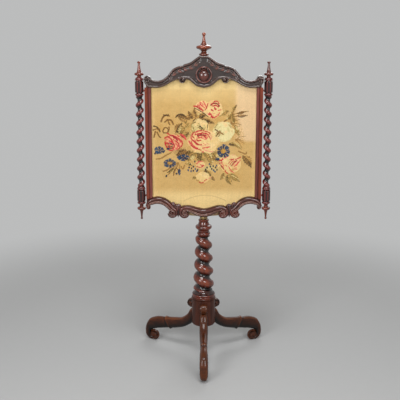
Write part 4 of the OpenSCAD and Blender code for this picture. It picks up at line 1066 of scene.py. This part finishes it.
bouquet = {
    "tufts": [  # place, radii, wool
        (-90, 924, 44, 28, "bark"), (-92, 928, 26, 20, "brown"), (8, 908, 70, 34, "moss"),
        (-30, 900, 44, 32, "honey"), (40, 896, 44, 34, "honey"), (118, 1052, 40, 44, "honey"),
        (138, 1010, 30, 44, "honey"), (150, 972, 34, 26, "honey"), (-88, 1016, 40, 34, "moss"),
        (-70, 1040, 46, 30, "honey"), (24, 860, 60, 22, "lime"), (128, 824, 40, 26, "honey"),
        (-104, 866, 40, 30, "honey"), (60, 1064, 50, 26, "honey"), (-54, 958, 24, 34, "honey"),
        (-70, 880, 40, 30, "honey"), (-20, 1064, 50, 22, "honey"), (-186, 1030, 26, 34, "honey"),
        (-140, 1058, 36, 30, "honey"), (0, 836, 40, 20, "honey"),
    ],
    "fans": [  # foot, count, length, angles, half width, wool
        (112, 1046, 8, 46, 75, -35, 1.3, "bark"), (122, 1016, 6, 36, 40, -40, 1.2, "moss"),
        (132, 980, 6, 46, 20, -50, 1.2, "bark"), (-8, 934, 9, 46, 205, 335, 1.5, "olive"),
        (-26, 930, 6, 34, 215, 290, 1.3, "umber"), (34, 932, 6, 42, 240, 330, 1.3, "umber"),
        (-108, 884, 6, 42, 190, 275, 1.4, "bark"), (112, 838, 8, 40, 215, 330, 1.4, "moss"),
        (118, 834, 4, 34, 270, 330, 1.2, "olive"), (-92, 1004, 6, 36, 60, 150, 1.3, "brown"),
        (64, 1078, 5, 30, 10, 80, 1.3, "moss"), (8, 848, 5, 24, 210, 330, 1.4, "umber"),
        (-78, 918, 7, 30, 150, 290, 1.4, "umber"),
    ],
    "stalks": [  # wool, half width, then x and z of each point
        ("brown", 1.8, 86, 1058, 104, 1072, 116, 1084), ("bark", 1.6, 116, 1084, 124, 1100, 136, 1124),
        ("bark", 1.5, 116, 1084, 140, 1092, 160, 1096, 184, 1100),
        ("bark", 1.4, 118, 1080, 140, 1080, 162, 1092),
        ("bark", 2.2, -200, 898, -180, 902, -160, 914, -138, 926),
        ("bark", 2.2, -172, 846, -158, 850, -140, 862), ("bark", 2.0, -150, 832, -142, 842, -134, 858),
        ("brown", 1.8, -118, 862, -108, 850, -104, 842), ("bark", 1.8, -96, 866, -88, 856, -82, 872),
        ("bark", 2.0, 146, 932, 160, 926, 178, 920, 180, 928), ("umber", 2.4, 10, 850, 8, 838, 2, 828),
        ("umber", 2.0, -40, 1066, -46, 1050, -52, 1036),
        ("brown", 2.0, -172, 1018, -162, 1032, -150, 1026, -152, 1012, -168, 1010, -172, 1020),
        ("brown", 2.0, -150, 1012, -146, 1024, -146, 1034),
        ("brown", 2.8, -178, 1058, -172, 1074, -158, 1084, -146, 1080),
        ("umber", 1.8, -168, 1086, -158, 1082, -148, 1086),
        ("brown", 2.6, -162, 1056, -150, 1064, -136, 1062, -128, 1046),
        ("brown", 1.8, -150, 1064, -146, 1050, -142, 1044),
        ("umber", 2.2, -210, 1038, -198, 1034, -188, 1026, -184, 1014),
        ("brown", 2.2, -212, 1022, -198, 1026, -186, 1024),
        ("brown", 2.4, -204, 1016, -206, 1002, -210, 992), ("brown", 2.4, -196, 1012, -188, 996, -182, 990),
        ("umber", 2.6, -116, 1076, -104, 1086, -88, 1086, -72, 1072),
        ("olive", 1.6, -70, 1062, -76, 1050, -80, 1060),
    ],
    "leaves": [  # foot, length, width, angle, wools
        (-58, 1066, 60, 15, 161, "brownLeaf"), (-46, 1068, 38, 14, 119, "brownLeaf"),
        (-34, 1068, 46, 13, 97, "brownLeaf"), (-38, 1066, 62, 14, 42, "paleLeaf"),
        (-40, 1064, 92, 8, -11, "brownLeaf"), (-28, 1068, 50, 10, 23, "brownLeaf"),
        (-62, 1052, 34, 9, 231, "paleLeaf"), (-118, 1008, 54, 15, 57, "brownLeaf"),
        (-100, 1008, 40, 15, 84, "paleLeaf"), (-94, 1000, 36, 12, 22, "brownLeaf"),
        (-66, 930, 54, 22, 195, "brownLeaf"), (-58, 936, 34, 13, 237, "brownLeaf"),
        (-30, 926, 54, 20, 226, "paleLeaf"), (-10, 928, 56, 18, 255, "oliveLeaf"),
        (16, 926, 58, 18, 285, "paleLeaf"), (36, 928, 58, 18, 318, "paleLeaf"),
        (58, 930, 40, 14, 345, "oliveLeaf"), (74, 1086, 36, 11, 25, "paleLeaf"),
        (96, 1062, 44, 11, 62, "paleLeaf"), (128, 1050, 40, 10, 101, "paleLeaf"),
        (130, 1040, 46, 10, -62, "paleLeaf"), (120, 968, 50, 9, -37, "paleLeaf"),
        (104, 962, 40, 9, -11, "oliveLeaf"), (120, 1098, 36, 7, 59, "oliveLeaf"),
        (138, 1088, 44, 6, 15, "brownLeaf"), (136, 1082, 48, 7, 2, "brownLeaf"),
        (164, 914, 66, 18, -55, "brownLeaf"), (86, 838, 34, 11, 241, "paleLeaf"),
        (100, 830, 46, 12, -68, "oliveLeaf"), (112, 826, 50, 12, -33, "paleLeaf"),
        (14, 850, 32, 9, -59, "oliveLeaf"), (6, 850, 30, 8, 241, "brownLeaf"),
        (-122, 862, 44, 7, 213, "oliveLeaf"), (-116, 860, 40, 6, 250, "brownLeaf"),
        (-78, 880, 34, 8, 341, "paleLeaf"), (34, 824, 24, 7, -50, "brownLeaf"),
        (-30, 818, 22, 7, 200, "oliveLeaf"), (-98, 1000, 28, 7, -37, "redInk"),
        (-34, 1062, 42, 10, 104, "brownLeaf"), (-32, 1062, 34, 10, 58, "brownLeaf"),
        (-14, 1068, 60, 8, -15, "brownLeaf"),
    ],
    "flowers": [  # place, radii, heart, rings, wools, light, ink, core, share of ink, sectors
        ((-17, 1034), (38, 34), (6, -8), 5, "greenFlower", 70, "mossInk", 0.7, 0.5,
         [(180, 180, 0.5, 1, 0.25)]),
        ((82, 1014), (45, 43), (-17, -4), 5, "whiteFlower", 20, "limeInk", 0.5, 0.5,
         [(180, 180, 0.5, 0.95, 0.3)]),
        ((-3, 1118), (33, 25), (-10, -4), 5, "paleRose", 40, "pinkInk", 0.5, 0.3,
         [(200, 70, 0.2, 1.0, 0.2)]),
        ((40, 1108), (38, 37), (11, 18), 6, "paleRose", -60, "pinkInk", 0.5, 0.3,
         [(250, 40, 0.62, 1.0, 0.2)]),
        ((-127, 970), (38, 37), (-14, -8), 7, "redRose", 40, "darkInk", 0.9, 0.3,
         [(180, 180, 0.3, 1.0, 0.3)]),
        ((0, 972), (66, 49), (-11, 30), 9, "paleRose", -35, "pinkInk", 0.46, 0.4,
         [(210, 62, 0.3, 0.98, 0.12)]),
        ((112, 876), (48, 42), (22, -2), 7, "dullRose", 110, "pinkInk", 0.5, 0.2,
         [(200, 70, 0.5, 1.0, 0.15)]),
        ((-14, 875), (19, 16), (0, 2), 3, "paleRose", 90, "pinkInk", 1.0, 0.2, []),
        ((-4, 818), (30, 26), (0, 12), 5, "dullRose", 90, "pinkInk", 0.2, 0.2,
         [(270, 80, 0.8, 1.03, 0.2)]),
    ],
    "strokes": [  # edges of petals and marks in the pale flowers, given as the stalks are
        ("red", 1.8, -42, 1010, -21, 1018, 10, 1016, 26, 1007),
        ("red", 2.1, -37, 1001, -16, 1008, 5, 1008, 19, 1001), ("deep", 2.6, -26, 997, -11, 1001, 6, 998),
        ("rose", 1.7, -21, 989, -5, 992, 13, 989), ("red", 2.4, -45, 1008, -49, 998, -42, 989),
        ("rose", 2.0, -53, 995, -53, 985, -45, 975), ("red", 2.1, -30, 981, -22, 977, -12, 978),
        ("red", 2.7, -41, 973, -33, 964, -22, 959, -11, 959),
        ("rose", 2.2, -63, 975, -55, 962, -42, 951, -26, 945),
        ("red", 1.9, -53, 956, -40, 947, -24, 941, -11, 936), ("rose", 2.1, -5, 945, 8, 947, 25, 950),
        ("pink", 1.8, 0, 939, 15, 933, 38, 929), ("rose", 1.2, -3, 964, 10, 960),
        ("pink", 1.5, 30, 1000, 33, 990, 28, 980), ("red", 2.2, -152, 1008, -142, 1001, -129, 998),
        ("red", 2.4, -164, 988, -152, 993, -139, 985, -131, 972),
        ("red", 2.8, -134, 998, -118, 993, -103, 982, -92, 972),
        ("rose", 2.0, -121, 988, -108, 982, -97, 972), ("red", 2.2, -91, 972, -91, 959, -95, 951),
        ("red", 2.0, -163, 972, -162, 959, -155, 946),
        ("red", 2.2, -145, 975, -131, 969, -124, 956, -129, 946),
        ("rose", 1.9, -150, 938, -139, 934, -126, 941), ("rose", 1.9, -118, 964, -110, 954, -116, 943),
        ("black", 1.5, -152, 964, -142, 967, -130, 960), ("navy", 1.5, -150, 954, -142, 951, -131, 954),
        ("black", 1.2, -145, 945, -134, 941), ("olive", 1.3, -126, 985, -121, 980),
        ("olive", 1.3, -105, 964, -104, 956), ("cream", 1.2, -134, 990, -120, 980),
        ("rose", 2.8, -97, 1003, -87, 998, -76, 982), ("deep", 1.2, -96, 998, -86, 991),
        ("red", 2.6, -40, 1121, -26, 1119, -13, 1110, -3, 1102), ("rose", 1.8, -26, 1124, -16, 1120),
        ("rose", 2.0, -16, 1136, -11, 1125, 2, 1115), ("rose", 2.0, -3, 1141, 5, 1128, 10, 1118),
        ("red", 2.0, 16, 1131, 13, 1118, 5, 1105), ("deep", 2.5, 29, 1125, 39, 1133, 55, 1131, 64, 1122),
        ("red", 1.7, 42, 1141, 55, 1141, 63, 1131), ("red", 1.9, 38, 1121, 50, 1124, 60, 1118),
        ("red", 2.3, 31, 1107, 38, 1102), ("rose", 2.1, 19, 1086, 31, 1084, 39, 1076),
        ("red", 2.0, 31, 1076, 42, 1072, 52, 1079), ("rose", 1.7, 60, 1103, 71, 1106),
        ("pink", 1.4, 52, 1084, 61, 1089), ("red", 1.6, 65, 891, 76, 894, 82, 898),
        ("rose", 1.6, 89, 902, 102, 910), ("red", 1.6, 68, 881, 78, 884),
        ("red", 1.9, 73, 871, 81, 863, 84, 855), ("rose", 1.6, 92, 872, 97, 868),
        ("red", 1.7, 89, 852, 94, 842, 102, 837), ("rose", 1.7, 106, 866, 113, 852, 123, 842),
        ("rose", 1.6, 115, 847, 128, 840), ("red", 1.5, 110, 873, 118, 884, 128, 891),
        ("red", 1.6, 121, 868, 128, 881, 141, 891), ("rose", 1.6, 128, 866, 139, 876, 145, 886),
        ("red", 1.8, 134, 897, 147, 902, 155, 907), ("pink", 1.4, 121, 915, 128, 916),
        ("rose", 1.3, 131, 855, 141, 855), ("rose", 1.5, -29, 878, -21, 888, -5, 888),
        ("red", 1.6, -28, 868, -19, 863, -5, 866), ("red", 1.8, -13, 873, -3, 871),
        ("red", 1.7, -19, 798, -8, 795, -1, 799), ("red", 1.5, 3, 804, 13, 811),
        ("umber", 1.5, -38, 1113, -6, 1096, 18, 1077), ("brown", 1.4, -30, 808, -25, 806),
        ("pink", 1.4, 21, 813, 31, 819), ("rose", 1.6, 10, 1009, 19, 1001, 16, 990),
        ("red", 1.5, -4, 998, 8, 994), ("red", 1.4, 5, 1006, 10, 1000, 8, 987),
        ("rose", 1.6, -37, 1006, -29, 1013, -15, 1017), ("rose", 1.5, -29, 987, -12, 988, 2, 984),
        ("red", 1.8, -51, 984, -40, 973, -23, 962), ("rose", 1.5, -62, 976, -51, 962, -37, 953),
        ("pink", 1.3, -9, 954, 8, 957), ("pink", 1.2, 10, 968, 22, 960),
        ("rose", 1.6, -157, 982, -143, 976, -132, 965), ("red", 1.6, -160, 968, -148, 962, -143, 951),
        ("deep", 1.4, -137, 998, -121, 990, -109, 976), ("red", 1.7, -118, 976, -107, 965, -104, 951),
        ("red", 1.7, -157, 951, -148, 940, -134, 933), ("rose", 1.5, -123, 948, -112, 940),
        ("rose", 1.5, -17, 1137, -6, 1132, -4, 1122), ("deep", 1.4, -29, 1117, -15, 1107),
        ("red", 1.5, 30, 1128, 38, 1135, 49, 1140), ("rose", 1.5, 49, 1075, 61, 1084, 66, 1095),
        ("red", 1.5, 19, 1091, 27, 1086, 33, 1080), ("red", 1.4, 69, 893, 77, 888, 75, 877),
        ("deep", 1.4, 66, 880, 75, 866, 83, 855), ("rose", 1.4, 77, 880, 86, 868),
        ("red", 1.4, 105, 880, 114, 891, 127, 899), ("deep", 1.3, 116, 868, 125, 882, 139, 893),
        ("rose", 1.4, 139, 871, 147, 882, 153, 893), ("pink", 1.3, 127, 857, 139, 863),
        ("brown", 2.4, 48, 1024, 56, 1018, 66, 1010), ("bark", 2.2, 66, 1018, 72, 1010, 80, 1004),
        ("brown", 2.4, 62, 1008, 56, 1002, 52, 996), ("bark", 1.8, 66, 1008, 66, 1000, 62, 994),
        ("bark", 1.6, 52, 1012, 58, 1010, 64, 1010), ("black", 1.6, -16, 1038, -12, 1034, -8, 1030),
        ("olive", 1.6, -8, 1026, -4, 1030, -2, 1024),
    ],
    "blue": [  # place, radii, petals, gold eye
        ((82, 932), (29, 27), 11, True), ((-144, 881), (29, 18), 10, True),
        ((-187, 936), (22, 17), 6, False), ((-198, 925), (8, 7), 3, False),
        ((-87, 903), (24, 14), 6, False), ((-104, 906), (9, 7), 3, False), ((-104, 842), (7, 15), 3, False),
        ((58, 898), (9, 7), 3, False), ((-151, 942), (8, 6), 3, False),
    ],
    "berries": [  # place
        (-58, 876), (-62, 862), (-52, 858), (-44, 848), (-36, 856), (-44, 866), (-66, 850), (-30, 846),
        (-54, 846), (-38, 888), (-26, 852), (28, 866), (34, 856), (42, 850), (50, 862), (56, 852),
        (48, 844), (24, 876), (54, 870), (40, 868), (-160, 824), (-158, 826), (-206, 922), (14, 862),
        (8, 854), (-116, 836), (110, 962),
    ],
}


def panelEdges(ax):
    # lower and upper edge of the panel at the distance ax from the middle
    low = np.interp(ax, (0, 95, 125, 150, 180, 224.9), (32, 36, 46, 62, 78, 78))
    return canvas["low"] + low, crest["base"] + crestHeight(ax, 10, "panelTop")


def gridCells(rows, cols):
    index = np.arange(rows * cols).reshape(rows, cols)
    return np.stack([index[:-1, :-1], index[:-1, 1:], index[1:, 1:], index[1:, :-1]], -1)


def makeSheet(name, px, py, pz, keep, finish, node):
    # a grid of stitches or threads; keep says which cells the sheet has
    cells = gridCells(*px.shape)[keep]
    old, new = np.unique(cells, return_inverse=True)
    verts = np.stack([px, py, pz], -1).reshape(-1, 3)[old]
    return addPiece(name, verts, new.reshape(cells.shape).tolist(), finish, "banner", node)


def makeNeedlework():
    p = canvas
    step, slope = p["stitch"], p["slope"]
    x = np.arange(-p["half"], p["half"] + step / 2, step)
    px, pz = np.meshgrid(x, np.arange(p["foot"], p["top"], step))
    cx, cz = (px[:-1, :-1] + step / 2), (pz[:-1, :-1] + step / 2)
    low, top = panelEdges(np.abs(cx))
    keep = (cz > low + 1) & (cz < top - 1)
    tint, wool = workCanvas(cx, cz, np.random.default_rng(p["seed"]))
    low, top = panelEdges(np.abs(px))
    padded = ease((pz - low - 12) / slope) * ease((top - pz - 14) / slope) * ease((214 - np.abs(px)) / slope)
    thick = np.zeros(px.shape)
    thick[:-1, :-1] = wool
    ripple = 0.25 * np.sin(px / 19 + 0.6 * np.sin(pz / 70)) + 0.15 * np.sin(px / 7.3 + 1)
    py = p["front"] - padded * (1.4 + ripple + thick)
    obj = makeSheet("needleworkCanvas", px, py, pz, keep, threadFinish("woolStitches", step), "needlework")
    paint = obj.data.attributes.new("thread", "FLOAT_COLOR", "CORNER")
    per = np.repeat(tint[keep], 4, axis=0)
    paint.data.foreach_set("color", np.hstack([per, np.ones((len(per), 1))]).astype(np.float32).ravel())
    area = keep.sum() * (step * mm)**2


makeNeedlework()
print("needlework sewn")


# Backing cloth with a hem that shows below the apron

backing = {"half": 232, "front": -24, "thick": 1.2, "wall": 0.8, "across": 117, "up": 140,
           "top": [[0, 14], [46, 34], [72, 44], [100, 44], [134, 34], [160, 20], [186, 12], [232, 12]],
           "low": [[0, 0], [65, 6], [100, 14], [125, 24], [150, 40], [172, 56], [190, 64], [232, 66]]}


def makeBacking():
    # columns across, rows from the lower to the upper edge: z = low + v (top - low)
    p = backing
    x = np.linspace(-p["half"], p["half"], p["across"])
    v = np.linspace(0, 1, p["up"])[:, None]
    low = apron["base"] + np.interp(np.abs(x), *np.array(p["low"]).T)
    top = crest["base"] + np.interp(np.abs(x), *np.array(p["top"]).T)
    pz = low + v * (top - low)
    px = x + 0 * v
    slack = np.sin(np.pi * v) * np.sin(np.pi * (x + p["half"]) / (2 * p["half"]))
    wave = 0.35 * np.sin(x / 26 + 3 * v) + 0.25 * np.sin(9 * v + x / 60)
    py = p["front"] + p["thick"] / 2 + slack * wave
    keep = np.ones((p["up"] - 1, p["across"] - 1), bool)
    obj = makeSheet("backingCloth", px, py, pz, keep, backCloth, "backing_cloth")
    wall = obj.modifiers.new("thickness", "SOLIDIFY")
    wall.thickness = p["wall"] * mm
    wall.offset = 0
    area = ((top - low)[1:] + (top - low)[:-1]).sum() / 2 * (x[1] - x[0]) * mm**2


makeBacking()
print("backing cloth stretched")


# Floor and background

def shownRays(tree):
    # 1 for what the camera, a reflection or clear glass sees
    rays = tree.nodes.new("ShaderNodeLightPath")
    kinds = ("Camera", "Glossy", "Transmission")
    seen, shine, through = (Wire(tree, rays.outputs[f"Is {kind} Ray"]) for kind in kinds)
    return (seen + shine + through).clamp(0.0, 1.0)


def makeStage():
    mat, body, coords = newFinish("palePaper")
    tree = coords.tree
    grain = noise(coords, 30.0, 3.0)
    feed(body, "Base Color", mix(grain, tuple(0.97 * c for c in studio["paper"]), studio["paper"]))
    feed(body, "Roughness", 0.85)
    feed(body, "Specular IOR Level", 0.1)
    far = coords.add("ShaderNodeVectorMath", {"operation": "LENGTH"}, {0: coords}, 1).clamp(*studio["fade"])
    glow = coords.add("ShaderNodeEmission", {}, {"Color": colour4(studio["paper"]), "Strength": 1.0})
    lit = Wire(tree, body.outputs[0])
    surface = coords.add("ShaderNodeMixShader", {}, {0: far * shownRays(tree), 1: lit, 2: glow})
    feed(tree.nodes["Material Output"], 0, surface)
    half, n, height = studio["floor"]
    grid = np.linspace(-half, half, n)
    px, py = np.meshgrid(grid, grid)
    verts = np.stack([px, py, 0 * px + height], -1).reshape(-1, 3)
    mesh = bpy.data.meshes.new("floor")
    mesh.from_pydata(verts.tolist(), [], gridCells(n, n).reshape(-1, 4).tolist())
    mesh.materials.append(mat)
    addObject("floor", mesh)


def makeWorld():
    world = bpy.data.worlds.new("studio")
    bpy.context.scene.world = world
    world.use_nodes = True
    tree = world.node_tree
    tree.nodes.clear()
    out = tree.nodes.new("ShaderNodeOutputWorld")
    shown = shownRays(tree)
    sky = {"Color": (1, 0.99, 0.97, 1), "Strength": studio["skyLight"]}
    soft = shown.add("ShaderNodeBackground", {}, sky)
    pale = shown.add("ShaderNodeBackground", {}, {"Color": colour4(studio["paper"]), "Strength": 1.0})
    feed(out, 0, shown.add("ShaderNodeMixShader", {}, {0: shown, 1: soft, 2: pale}))


makeStage()
makeWorld()
bpy.context.scene.view_settings.view_transform = "Standard"
print("stage set")
